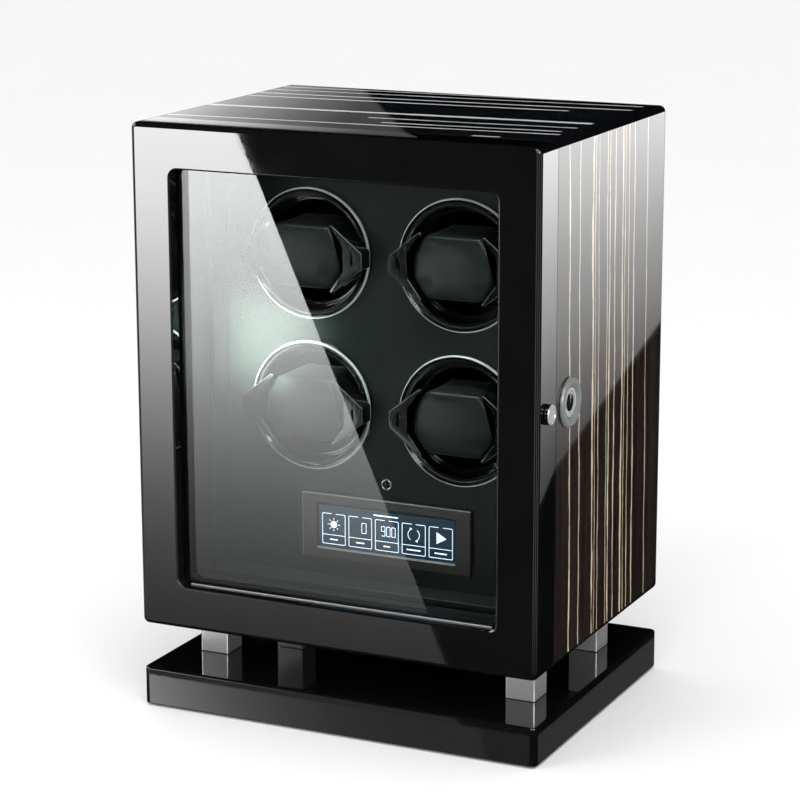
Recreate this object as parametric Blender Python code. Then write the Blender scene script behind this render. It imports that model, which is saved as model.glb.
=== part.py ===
"""A glass-fronted cabinet that winds four watches: a lacquered carcass on a plinth with four posts,
a framed glass door on two butt hinges, and two rows of geared rotors behind a leatherette fascia.

Metres, +Z up, the door faces -Y. The origin is on the floor under the middle of the object.
"""

import math

import bmesh
import bpy
from mathutils import Matrix, Vector

MM = 0.001
GAP = 0.3 * MM  # between pieces that touch
SHARP_ANGLE = math.radians(35)  # edges that turn by more than this are shaded sharp

# Driving dimensions
WIDTH = 270 * MM
DEPTH = 208 * MM
CABINET_HEIGHT = 319 * MM
PLINTH_HEIGHT = 24.5 * MM
POST_GAP = 29 * MM
PAD_HEIGHT = 1.5 * MM
DOOR_THICKNESS = 26 * MM
WALL = 18 * MM
EDGE_RADIUS = 4 * MM

# Levels and faces that follow from them
HALF = WIDTH / 2
FRONT = -DEPTH / 2
REAR = DEPTH / 2
PLINTH_TOP = PAD_HEIGHT + PLINTH_HEIGHT
CABINET_BASE = PLINTH_TOP + POST_GAP
CABINET_TOP = CABINET_BASE + CABINET_HEIGHT
MIDDLE = (CABINET_BASE + CABINET_TOP) / 2
DOOR_BACK = FRONT + DOOR_THICKNESS
SEAM = 0.5 * MM
CARCASS_FRONT = DOOR_BACK + SEAM
ROOM_HALF = HALF - WALL
ROOM_LOW = CABINET_BASE + WALL
ROOM_HIGH = CABINET_TOP - WALL

# Door window
WINDOW_HALF = 108.5 * MM
WINDOW_RAIL = 27.5 * MM
WINDOW_LOW = CABINET_BASE + WINDOW_RAIL
WINDOW_HIGH = CABINET_TOP - WINDOW_RAIL
WINDOW_RADIUS = 5.5 * MM
REBATE_WIDTH = 4.5 * MM
REBATE_FACE = FRONT + 8 * MM
GLASS_THICKNESS = 4 * MM

# Posts under the cabinet
POST_SIDE = 19.5 * MM
POST_X = 107 * MM
POST_Y = DEPTH / 2 - 52 * MM
STUD_RADIUS = 2.5 * MM
STUD_HOLE = 2.9 * MM
STUD_LENGTH = 12 * MM

# Fascia and the liner in front of it
FASCIA_FACE = FRONT + 78 * MM
FASCIA_THICKNESS = 4 * MM
LINER_FRONT = FRONT + 57.5 * MM
LINER_WALL = 4.5 * MM
FIT = 0.4 * MM  # around panels that drop into the carcass
PANEL_HALF = ROOM_HALF - FIT
PANEL_LOW = ROOM_LOW + FIT
PANEL_HIGH = ROOM_HIGH - FIT

# Rotors. Depths along a rotor are counted from the fascia's face, positive towards the back.
COLUMN = 51.5 * MM
UPPER_ROW = MIDDLE + 72.3 * MM
LOWER_ROW = MIDDLE - 25.5 * MM
RING_OUTER = 41.85 * MM
RING_INNER = 38.5 * MM
RING_SPIGOT = 40 * MM
RING_PROUD = 4.5 * MM
FASCIA_HOLE = 40.5 * MM
CUP_OUTER = 38 * MM
CUP_SHOULDER_RADIUS = 32.5 * MM
CUP_WALL = 2 * MM
CUP_LIP = -3.8 * MM
CUP_SHOULDER = 6 * MM
CUP_FLOOR = 40 * MM
CUP_BACK = 43 * MM
SHAFT_RADIUS = 3 * MM
SHAFT_END = 61 * MM
PLATE_FACE = 46 * MM
PLATE_THICKNESS = 4 * MM
GEAR_FACE = 53 * MM
GEAR_WIDTH = 6 * MM
GEAR_TEETH = 40
PINION_TEETH = 10
MODULE = 2 * COLUMN / (GEAR_TEETH + PINION_TEETH)
MOTOR_RADIUS = 12.3 * MM
ROUND_SIDES = 32
SMALL_SIDES = 12

# Watch holder and its pillow, about the rotor's axis
HOLDER_FRONT = -17 * MM
HOLDER_NECK = -5.2 * MM
HOLDER_BACK = CUP_SHOULDER - GAP
CAP_REACH = 42.5 * MM  # tips in front of the cup and its ring
CAP_SEAT = 35 * MM  # tips on the cup's shoulder
CAP_TIP_HALF = 5 * MM
CORE_HALF = 7 * MM
CORE_MIDDLE = HOLDER_BACK - CORE_HALF - 1 * MM
PILLOW_FRONT = -16 * MM
PILLOW_BACK = 25 * MM
PILLOW_HALF_WIDTH = 28.5 * MM
PILLOW_HALF_HEIGHT = 21.5 * MM
PILLOW_TOP_HALF = 18.5 * MM
PILLOW_SIDE_HALF = 8 * MM

# Display, receiver and light
DISPLAY_Z = MIDDLE - 104 * MM
BEZEL_HALF = (59 * MM, 21.3 * MM)
SCREEN_HALF = (47.8 * MM, 14.1 * MM)
RECEIVER_Z = MIDDLE - 72.5 * MM

# Lock in the right wall, and the knob on the door's edge beside it
LOCK_Y = FRONT + 47 * MM
LOCK_Z = MIDDLE + 1.5 * MM
LOCK_RADIUS = 15.3 * MM
LOCK_DISH = 9.3 * MM
KNOB_RADIUS = 6.2 * MM
SIDE_PROUD = 3.5 * MM  # how far the knob and the hinge barrels stand out of the sides
BOLT_X = HALF - 9 * MM

# Hinges on the left
KNUCKLE_RADIUS = 2.2 * MM
KNUCKLE_BORE = 1.3 * MM
HINGE_PIN = 1.0 * MM
HINGE_X = -(HALF + SIDE_PROUD - KNUCKLE_RADIUS)
HINGE_Y = (DOOR_BACK + CARCASS_FRONT) / 2
HINGE_HALF = 20 * MM
HINGE_LEVELS = (CABINET_BASE + 50 * MM, CABINET_TOP - 50 * MM)
LEAF_THICKNESS = 1.3 * MM
LEAF_EDGE = HINGE_X + 16 * MM

# Back panel
BACK_HALF = 127 * MM
BACK_MARGIN = 8 * MM
BACK_FACE = REAR - 9 * MM
BACK_THICKNESS = 6 * MM
INLET_X = 80 * MM
INLET_Z = CABINET_BASE + 35 * MM


def clear_scene():
    for obj in list(bpy.data.objects):
        bpy.data.objects.remove(obj, do_unlink=True)


def material(name, rgb, roughness, metallic=0.0, alpha=1.0):
    made = bpy.data.materials.new(name)
    made.use_nodes = True
    shader = made.node_tree.nodes["Principled BSDF"]
    shader.inputs["Base Color"].default_value = (*rgb, 1.0)
    shader.inputs["Roughness"].default_value = roughness
    shader.inputs["Metallic"].default_value = metallic
    shader.inputs["Alpha"].default_value = alpha
    made.diffuse_color = (*rgb, alpha)
    return made


def add_box(bm, low, high):
    """A box from its lowest to its highest corner."""
    low, high = Vector(low), Vector(high)
    place = Matrix.Translation((low + high) / 2) @ Matrix.Diagonal((*(high - low), 1))
    return bmesh.ops.create_cube(bm, size=1.0, matrix=place)["verts"]


def box(low, high):
    bm = bmesh.new()
    add_box(bm, low, high)
    return bm


def add_turned(bm, profile, axis="Y", centre=(0, 0, 0), sides=ROUND_SIDES):
    """A solid turned about an axis, from a closed profile of (radius, place along the axis)."""
    along = Vector({"X": (1, 0, 0), "Y": (0, 1, 0), "Z": (0, 0, 1)}[axis])
    across = Vector((0, 0, 1)) if axis != "Z" else Vector((1, 0, 0))
    centre = Vector(centre)
    ring = [bm.verts.new(centre + across * radius + along * place) for radius, place in profile]
    edges = [bm.edges.new((ring[i - 1], ring[i])) for i in range(len(ring))]
    on_axis = [e for e in edges if all((v.co - centre).cross(along).length < 1e-7 for v in e.verts)]
    for edge in on_axis:
        edges.remove(edge)
        bm.edges.remove(edge)
    bmesh.ops.spin(bm, geom=ring + edges, cent=centre, axis=along, angle=2 * math.pi, steps=sides)
    bmesh.ops.remove_doubles(bm, verts=bm.verts, dist=1e-6)


def turned(profile, axis="Y", centre=(0, 0, 0), sides=ROUND_SIDES):
    bm = bmesh.new()
    add_turned(bm, profile, axis, centre, sides)
    return bm


def rod(bm, radius, start, end, axis, centre, sides=SMALL_SIDES):
    add_turned(bm, [(0, start), (radius, start), (radius, end), (0, end)], axis, centre, sides)


def add_prism(bm, outline, front, back):
    """An outline of (x, z) points, extruded along Y from front to back."""
    face = bm.faces.new([bm.verts.new((x, front, z)) for x, z in outline])
    grown = bmesh.ops.extrude_face_region(bm, geom=[face])["geom"]
    moved = [item for item in grown if isinstance(item, bmesh.types.BMVert)]
    bmesh.ops.translate(bm, verts=moved, vec=(0, back - front, 0))


def prism(outline, front, back):
    bm = bmesh.new()
    add_prism(bm, outline, front, back)
    return bm


def rounded_rectangle(half_x, low_z, high_z, radius, steps=4):
    """Corner arcs of a rectangle centred on x = 0, counter-clockwise."""
    points = []
    corners = (
        (half_x - radius, high_z - radius, 0.0),
        (radius - half_x, high_z - radius, 90.0),
        (radius - half_x, low_z + radius, 180.0),
        (half_x - radius, low_z + radius, 270.0),
    )
    for x, z, start in corners:
        for step in range(steps + 1):
            angle = math.radians(start + 90.0 * step / steps)
            points.append((x + radius * math.cos(angle), z + radius * math.sin(angle)))
    return points


def bevel_where(bm, chosen, radius, segments):
    """Rounds the edges whose two ends both satisfy chosen(edge)."""
    edges = [edge for edge in bm.edges if chosen(edge)]
    bmesh.ops.bevel(
        bm,
        geom=edges,
        offset=radius,
        offset_type="OFFSET",
        segments=segments,
        profile=0.5,
        affect="EDGES",
        clamp_overlap=True,
    )


def runs_along(edge, index):
    direction = (edge.verts[1].co - edge.verts[0].co).normalized()
    return abs(direction[index]) > 0.999


def lies_at(edge, index, level):
    return all(abs(vert.co[index] - level) < 1e-6 for vert in edge.verts)


def finished_mesh(name, bm, finish):
    """A smooth-shaded mesh from a bmesh, about its own origin."""
    bmesh.ops.recalc_face_normals(bm, faces=bm.faces)
    mesh = bpy.data.meshes.new(name)
    bm.to_mesh(mesh)
    bm.free()
    mesh.shade_smooth()
    mesh.set_sharp_from_angle(angle=SHARP_ANGLE)
    mesh.materials.append(finish)
    return mesh


def build(name, bm, finish, parent=None, origin=(0, 0, 0)):
    """Makes the object. Its mesh is in world places, moved so that its origin is at the given point."""
    origin = Vector(origin)
    bmesh.ops.translate(bm, verts=bm.verts, vec=-origin)
    return place(name, finished_mesh(name, bm, finish), origin, parent)


def place(name, mesh, location, parent=None):
    obj = bpy.data.objects.new(name, mesh)
    bpy.context.scene.collection.objects.link(obj)
    obj.parent = parent
    obj.location = Vector(location) - (parent.location if parent else Vector((0, 0, 0)))
    return obj


def pivot(name, location):
    """An empty on a joint's axis, which carries the pieces that move about it."""
    empty = bpy.data.objects.new(name, None)
    empty.empty_display_size = 20 * MM
    empty.location = location
    bpy.context.scene.collection.objects.link(empty)
    return empty


def tool(name, bm):
    """A solid that only shapes others."""
    bmesh.ops.recalc_face_normals(bm, faces=bm.faces)
    mesh = bpy.data.meshes.new(name)
    bm.to_mesh(mesh)
    bm.free()
    obj = place(name, mesh, (0, 0, 0))
    obj.hide_render = True
    obj.display_type = "WIRE"
    return obj


def combine(obj, operation, *tools):
    for item in tools:
        modifier = obj.modifiers.new(item.name, "BOOLEAN")
        modifier.operation = operation
        modifier.solver = "EXACT"
        modifier.object = item


def make_materials():
    return {
        "lacquer": material("black_lacquer", (0.012, 0.012, 0.013), 0.05),
        "veneer": material("ebony_veneer", (0.035, 0.028, 0.026), 0.08),
        "aluminium": material("polished_aluminium", (0.8, 0.8, 0.82), 0.15, 1.0),
        "satin": material("satin_aluminium", (0.6, 0.6, 0.61), 0.35, 1.0),
        "steel": material("zinc_steel", (0.55, 0.55, 0.56), 0.3, 1.0),
        "felt": material("base_felt", (0.03, 0.03, 0.03), 0.95),
        "leatherette": material("leatherette", (0.03, 0.04, 0.038), 0.55),
        "pillow": material("pillow_leatherette", (0.04, 0.05, 0.048), 0.45),
        "gloss": material("gloss_black_plastic", (0.01, 0.01, 0.011), 0.1),
        "bezel": material("bezel_plastic", (0.07, 0.06, 0.06), 0.4),
        "screen": material("screen_glass", (0.03, 0.045, 0.06), 0.1),
        "clear": material("clear_acrylic", (0.9, 0.95, 0.95), 0.05, 0.0, 0.35),
        "glass": material("door_glass", (0.9, 0.95, 0.93), 0.02, 0.0, 0.2),
        "board": material("circuit_board", (0.02, 0.12, 0.05), 0.5),
        "nylon": material("white_nylon", (0.75, 0.75, 0.7), 0.5),
        "bronze": material("sintered_bronze", (0.45, 0.3, 0.15), 0.4, 1.0),
        "panel": material("black_board", (0.02, 0.02, 0.02), 0.6),
        "lamp": material("lamp_diffuser", (0.9, 0.95, 0.95), 0.4),
    }


def make_base(finish):
    """Plinth on its felt, and four posts whose studs screw into the plinth and the cabinet's floor."""
    spots = [(sx * POST_X, sy * POST_Y) for sx in (-1, 1) for sy in (-1, 1)]
    holes = bmesh.new()
    for x, y in spots:
        start = PLINTH_TOP - STUD_LENGTH - 1 * MM
        stop = CABINET_BASE + STUD_LENGTH + 1 * MM
        rod(holes, STUD_HOLE, start, stop, "Z", (x, y, 0))
    stud_holes = tool("stud_holes", holes)

    slab = box((-HALF, FRONT, PAD_HEIGHT), (HALF, REAR, PLINTH_TOP))
    bevel_where(slab, lambda edge: runs_along(edge, 2), EDGE_RADIUS, 3)
    bevel_where(slab, lambda edge: lies_at(edge, 2, PLINTH_TOP), 1.5 * MM, 2)
    combine(build("plinth", slab, finish["lacquer"]), "DIFFERENCE", stud_holes)

    margin = 5 * MM
    low = (margin - HALF, FRONT + margin, 0)
    felt = box(low, (HALF - margin, REAR - margin, PAD_HEIGHT - GAP))
    bevel_where(felt, lambda edge: runs_along(edge, 2), EDGE_RADIUS, 3)
    build("base_felt", felt, finish["felt"])

    names = ("post_front_left", "post_back_left", "post_front_right", "post_back_right")
    for name, (x, y) in zip(names, spots):
        low = (x - POST_SIDE / 2, y - POST_SIDE / 2, PLINTH_TOP + GAP)
        high = (x + POST_SIDE / 2, y + POST_SIDE / 2, CABINET_BASE - GAP)
        block = box(low, high)
        bevel_where(block, lambda edge: runs_along(edge, 2), 0.8 * MM, 1)
        post = build(name, block, finish["aluminium"])
        stud = bmesh.new()
        rod(stud, STUD_RADIUS, PLINTH_TOP - STUD_LENGTH, CABINET_BASE + STUD_LENGTH, "Z", (x, y, 0))
        combine(post, "UNION", tool(name + "_stud", stud))
    return stud_holes


def hinge_tools():
    """The mortises and the barrel clearance, which span the seam and so cut both door and carcass."""
    mortise = bmesh.new()
    barrel = bmesh.new()
    for level in HINGE_LEVELS:
        reach = HINGE_HALF + 0.4 * MM
        low = (-HALF - 5 * MM, DOOR_BACK - 1.8 * MM, level - reach)
        high = (LEAF_EDGE + 0.4 * MM, CARCASS_FRONT + 1.8 * MM, level + reach)
        add_box(mortise, low, high)
        rod(barrel, KNUCKLE_RADIUS + 0.5 * MM, -reach, reach, "Z", (HINGE_X, HINGE_Y, level), 16)
    return tool("hinge_mortise", mortise), tool("barrel_clearance", barrel)


def make_carcass(finish, stud_holes, hinge_cuts):
    """Floor, sides and top, glued and lacquered as one, with the back panel in its rebate."""
    shell = box((-HALF, CARCASS_FRONT, CABINET_BASE), (HALF, REAR, CABINET_TOP))
    bevel_where(shell, lambda edge: runs_along(edge, 1), EDGE_RADIUS, 3)
    bevel_where(shell, lambda edge: lies_at(edge, 1, REAR), EDGE_RADIUS, 3)

    beyond = 10 * MM
    room_low = (-ROOM_HALF, FRONT - beyond, ROOM_LOW)
    room_high = (ROOM_HALF, REAR + beyond, ROOM_HIGH)
    room = tool("room", box(room_low, room_high))
    rebate_low = (-BACK_HALF, BACK_FACE, CABINET_BASE + BACK_MARGIN)
    rebate_high = (BACK_HALF, REAR + beyond, CABINET_TOP - BACK_MARGIN)
    rebate = tool("back_rebate", box(rebate_low, rebate_high))

    panel_low = BACK_FACE + FIT
    panel_high = panel_low + BACK_THICKNESS

    pocket = bmesh.new()
    low = (BOLT_X - 6 * MM, FRONT, LOCK_Z - 17 * MM)
    high = (BOLT_X + 6 * MM, CARCASS_FRONT + 35.5 * MM, LOCK_Z + 17 * MM)
    add_box(pocket, low, high)
    lock_pocket = tool("lock_pocket", pocket)
    hole = bmesh.new()
    rod(hole, 7.5 * MM, BOLT_X, HALF + beyond, "X", (0, LOCK_Y, LOCK_Z), 16)
    sensor_hole = tool("sensor_hole", hole)

    carcass = build("carcass", shell, finish["veneer"])
    cuts = (room, rebate, lock_pocket, sensor_hole, stud_holes, *hinge_cuts)
    combine(carcass, "DIFFERENCE", *cuts)

    low = (FIT - BACK_HALF, panel_low, CABINET_BASE + BACK_MARGIN + FIT)
    high = (BACK_HALF - FIT, panel_high, CABINET_TOP - BACK_MARGIN - FIT)
    panel = build("back_panel", box(low, high), finish["panel"])
    hole = bmesh.new()
    rod(hole, 5.6 * MM, BACK_FACE - 5 * MM, REAR, "Y", (INLET_X, 0, INLET_Z), 16)
    combine(panel, "DIFFERENCE", tool("inlet_hole", hole))

    outer = 6.6 * MM
    body = 5.2 * MM
    mouth = panel_high + 1.6 * MM
    profile = [
        (0, BACK_FACE - 12 * MM),
        (body, BACK_FACE - 12 * MM),
        (body, panel_high + GAP),
        (outer, panel_high + GAP),
        (outer, mouth),
        (3 * MM, mouth),
        (3 * MM, mouth - 11 * MM),
        (1 * MM, mouth - 11 * MM),
        (1 * MM, mouth - 2 * MM),
        (0, mouth - 2 * MM),
    ]
    build("dc_inlet", turned(profile, "Y", (INLET_X, 0, INLET_Z), 16), finish["gloss"])


def make_interior(finish):
    """The liner, the fascia with its display, and the light under the ceiling."""
    rim = box((-PANEL_HALF, LINER_FRONT, PANEL_LOW), (PANEL_HALF, FASCIA_FACE - FIT, PANEL_HIGH))
    liner = build("liner", rim, finish["leatherette"])
    inner = PANEL_HALF - LINER_WALL
    low = (-inner, LINER_FRONT - 5 * MM, PANEL_LOW + LINER_WALL)
    high = (inner, FASCIA_FACE + 5 * MM, PANEL_HIGH - LINER_WALL)
    combine(liner, "DIFFERENCE", tool("liner_opening", box(low, high)))

    fascia_back = FASCIA_FACE + FASCIA_THICKNESS
    board = box((-PANEL_HALF, FASCIA_FACE, PANEL_LOW), (PANEL_HALF, fascia_back, PANEL_HIGH))
    fascia = build("fascia", board, finish["leatherette"])
    holes = bmesh.new()
    for x in (-COLUMN, COLUMN):
        for z in (LOWER_ROW, UPPER_ROW):
            rod(holes, FASCIA_HOLE, FASCIA_FACE - GAP, fascia_back + GAP, "Y", (x, 0, z), ROUND_SIDES)
    rod(holes, 3.1 * MM, FASCIA_FACE - GAP, fascia_back + GAP, "Y", (0, 0, RECEIVER_Z))
    sill_x = SCREEN_HALF[0] + 2 * MM
    sill_z = SCREEN_HALF[1] + 1.5 * MM
    low = (-sill_x, FASCIA_FACE - GAP, DISPLAY_Z - sill_z)
    high = (sill_x, fascia_back + GAP, DISPLAY_Z + sill_z)
    add_box(holes, low, high)
    combine(fascia, "DIFFERENCE", tool("fascia_openings", holes))

    bezel_front = FASCIA_FACE - 3.2 * MM
    low = (-BEZEL_HALF[0], bezel_front, DISPLAY_Z - BEZEL_HALF[1])
    high = (BEZEL_HALF[0], FASCIA_FACE - GAP, DISPLAY_Z + BEZEL_HALF[1])
    frame = box(low, high)
    bevel_where(frame, lambda edge: lies_at(edge, 1, bezel_front), 0.8 * MM, 1)
    bezel = build("display_bezel", frame, finish["bezel"])
    low = (-SCREEN_HALF[0], bezel_front - 5 * MM, DISPLAY_Z - SCREEN_HALF[1])
    high = (SCREEN_HALF[0], FASCIA_FACE + 5 * MM, DISPLAY_Z + SCREEN_HALF[1])
    combine(bezel, "DIFFERENCE", tool("bezel_opening", box(low, high)))

    low = (FIT - SCREEN_HALF[0], bezel_front + 1 * MM, DISPLAY_Z - SCREEN_HALF[1] + FIT)
    high = (SCREEN_HALF[0] - FIT, fascia_back + 1 * MM, DISPLAY_Z + SCREEN_HALF[1] - FIT)
    build("display_panel", box(low, high), finish["screen"])
    low = (-sill_x - 2 * MM, fascia_back + 1.4 * MM, DISPLAY_Z - sill_z - 2 * MM)
    high = (sill_x + 2 * MM, fascia_back + 3 * MM, DISPLAY_Z + sill_z + 2 * MM)
    build("display_board", box(low, high), finish["board"])

    face = FASCIA_FACE - 1.6 * MM
    profile = [
        (0, face + 0.8 * MM),
        (2.5 * MM, face + 0.8 * MM),
        (2.5 * MM, face),
        (3.8 * MM, face),
        (3.8 * MM, FASCIA_FACE - GAP),
        (2.7 * MM, FASCIA_FACE - GAP),
        (2.7 * MM, fascia_back + 4 * MM),
        (0, fascia_back + 4 * MM),
    ]
    build("remote_receiver", turned(profile, "Y", (0, 0, RECEIVER_Z), 16), finish["gloss"])

    low = Vector((-95 * MM, CARCASS_FRONT + 5 * MM, ROOM_HIGH - 6 * MM))
    high = Vector((95 * MM, CARCASS_FRONT + 17 * MM, ROOM_HIGH - GAP))
    channel = build("light_channel", box(low, high), finish["satin"])
    wall = Vector((1.5 * MM, 1.5 * MM, 3 * MM))
    groove_high = Vector((high.x - wall.x, high.y - wall.y, low.z + wall.z))
    groove_low = low + Vector((wall.x, wall.y, -wall.z))
    combine(channel, "DIFFERENCE", tool("light_groove", box(groove_low, groove_high)))
    fit = Vector((GAP, GAP, GAP))
    strip_low = Vector((groove_low.x, groove_low.y, low.z))
    build("light_diffuser", box(strip_low + fit, groove_high - fit), finish["lamp"])


def gear_outline(teeth, bore):
    """Trapezoid teeth with a tooth gap centred on +X, and points on the bore for a plain hub."""
    pitch = MODULE * teeth / 2
    tip = pitch + 0.9 * MODULE
    root = pitch - 1.2 * MODULE
    step = 2 * math.pi / teeth
    outline = []
    for tooth in range(teeth):
        centre = (tooth + 0.5) * step
        for radius, share in ((root, -0.31), (tip, -0.12), (tip, 0.12), (root, 0.31)):
            angle = centre + share * step
            outline.append((radius * math.cos(angle), radius * math.sin(angle)))
    hub = []
    for side in range(SMALL_SIDES):
        angle = 2 * math.pi * side / SMALL_SIDES
        hub.append((bore * math.cos(angle), bore * math.sin(angle)))
    return outline, hub


def gear_mesh(teeth, bore, front, back):
    """A spur gear with a round bore, bridged from its toothed outline to its bore."""
    outline, hub = gear_outline(teeth, bore)
    bm = bmesh.new()
    loops = []
    for points in (outline, hub):
        ring = [bm.verts.new((x, front, z)) for x, z in points]
        loops += [bm.edges.new((ring[i - 1], ring[i])) for i in range(len(ring))]
    flat = bmesh.ops.triangle_fill(bm, use_beauty=True, edges=loops)["geom"]
    faces = [item for item in flat if isinstance(item, bmesh.types.BMFace)]
    grown = bmesh.ops.extrude_face_region(bm, geom=faces)["geom"]
    moved = [item for item in grown if isinstance(item, bmesh.types.BMVert)]
    bmesh.ops.translate(bm, verts=moved, vec=(0, back - front, 0))
    return bm


def cup_mesh():
    """The rotor: a stepped cup with its shaft, turned in one piece."""
    inner = CUP_OUTER - CUP_WALL
    narrow = CUP_SHOULDER_RADIUS + CUP_WALL
    profile = [
        (0, CUP_FLOOR),
        (CUP_SHOULDER_RADIUS, CUP_FLOOR),
        (CUP_SHOULDER_RADIUS, CUP_SHOULDER),
        (inner, CUP_SHOULDER),
        (inner, CUP_LIP),
        (CUP_OUTER, CUP_LIP),
        (CUP_OUTER, CUP_SHOULDER + 2.5 * MM),
        (narrow, CUP_SHOULDER + 2.5 * MM),
        (narrow, CUP_BACK),
        (SHAFT_RADIUS, CUP_BACK),
        (SHAFT_RADIUS, SHAFT_END),
        (0, SHAFT_END),
    ]
    return turned(profile)


def ring_mesh():
    """The clear trim ring: a flange on the fascia with a spigot in its hole."""
    profile = [
        (RING_INNER, -RING_PROUD),
        (RING_OUTER, -RING_PROUD),
        (RING_OUTER, -GAP),
        (RING_SPIGOT, -GAP),
        (RING_SPIGOT, FASCIA_THICKNESS - GAP),
        (RING_INNER, FASCIA_THICKNESS - GAP),
    ]
    return turned(profile)


def cap_outline(side, reach):
    """An end of the holder seen from the front: a chevron that hugs the pillow and tapers to its tip."""
    near = PILLOW_HALF_WIDTH + 0.5 * MM
    notch = PILLOW_SIDE_HALF + 0.3 * MM
    top = PILLOW_HALF_HEIGHT - 0.5 * MM
    corner = PILLOW_TOP_HALF + 1.1 * MM
    points = [
        (near, -notch),
        (near, notch),
        (corner, top),
        (corner + 1.4 * MM, top),
        (reach, CAP_TIP_HALF),
        (reach, -CAP_TIP_HALF),
        (corner + 1.4 * MM, -top),
        (corner, -top),
    ]
    return [(side * x, z) for x, z in points]


def combined_mesh(name, operation, finish, base, *others):
    """One closed mesh from a solid with others united with it or cut from it."""
    obj = tool(name + "_base", base)
    parts = [tool(f"{name}_part_{index}", item) for index, item in enumerate(others)]
    combine(obj, operation, *parts)
    bpy.context.view_layer.update()
    graph = bpy.context.evaluated_depsgraph_get()
    mesh = bpy.data.meshes.new_from_object(obj.evaluated_get(graph))
    mesh.name = name
    for item in (obj, *parts):
        bpy.data.objects.remove(item, do_unlink=True)
    mesh.shade_smooth()
    mesh.set_sharp_from_angle(angle=SHARP_ANGLE)
    mesh.materials.append(finish)
    return mesh


def holder_mesh(finish):
    """Two caps joined by a core bar. Their fronts stand out of the cup and their backs seat in it."""
    reach = PILLOW_HALF_WIDTH + 2 * MM
    low = (-reach, CORE_MIDDLE - CORE_HALF, -CORE_HALF)
    core = box(low, (reach, CORE_MIDDLE + CORE_HALF, CORE_HALF))
    fronts = bmesh.new()
    seats = bmesh.new()
    for side in (-1, 1):
        add_prism(fronts, cap_outline(side, CAP_REACH), HOLDER_FRONT, HOLDER_NECK)
        add_prism(seats, cap_outline(side, CAP_SEAT), HOLDER_NECK - 1 * MM, HOLDER_BACK)
    return combined_mesh("holder", "UNION", finish, core, fronts, seats)


def pillow_mesh(finish):
    """A barrel-shaped cushion around the holder's core, open at both ends for it."""
    wide, tall = PILLOW_HALF_WIDTH, PILLOW_HALF_HEIGHT
    side, top = PILLOW_SIDE_HALF, PILLOW_TOP_HALF
    outline = [(wide, -side), (wide, side), (top, tall), (-top, tall)]
    outline += [(-wide, side), (-wide, -side), (-top, -tall), (top, -tall)]
    body = prism(outline, PILLOW_FRONT, PILLOW_BACK)
    bevel_where(body, lambda edge: lies_at(edge, 1, PILLOW_FRONT), 4 * MM, 2)
    bevel_where(body, lambda edge: lies_at(edge, 1, PILLOW_BACK), 6 * MM, 1)
    half = CORE_HALF + 0.5 * MM
    beyond = PILLOW_HALF_WIDTH + 10 * MM
    channel = box((-beyond, CORE_MIDDLE - half, -half), (beyond, CORE_MIDDLE + half, half))
    return combined_mesh("pillow", "DIFFERENCE", finish, body, channel)


def make_rotors(finish):
    """Four rotors with their rings, gears, holders and pillows, each row driven by one motor."""
    cup = finished_mesh("rotor_cup", cup_mesh(), finish["gloss"])
    ring = finished_mesh("trim_ring", ring_mesh(), finish["clear"])
    bore = SHAFT_RADIUS + GAP
    gear_bm = gear_mesh(GEAR_TEETH, bore, GEAR_FACE, GEAR_FACE + GEAR_WIDTH)
    gear = finished_mesh("drive_gear", gear_bm, finish["nylon"])
    holder = holder_mesh(finish["gloss"])
    pillow = pillow_mesh(finish["pillow"])
    for row, level in (("upper", UPPER_ROW), ("lower", LOWER_ROW)):
        for side, x in (("left", -COLUMN), ("right", COLUMN)):
            spot = Vector((x, FASCIA_FACE, level))
            tag = f"{row}_{side}"
            rotor = pivot(f"rotor_{tag}_axis", spot)
            place(f"trim_ring_{tag}", ring, spot)
            place(f"rotor_cup_{tag}", cup, spot, rotor)
            place(f"drive_gear_{tag}", gear, spot, rotor)
            place(f"holder_{tag}", holder, spot, rotor)
            place(f"pillow_{tag}", pillow, spot, rotor)


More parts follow.
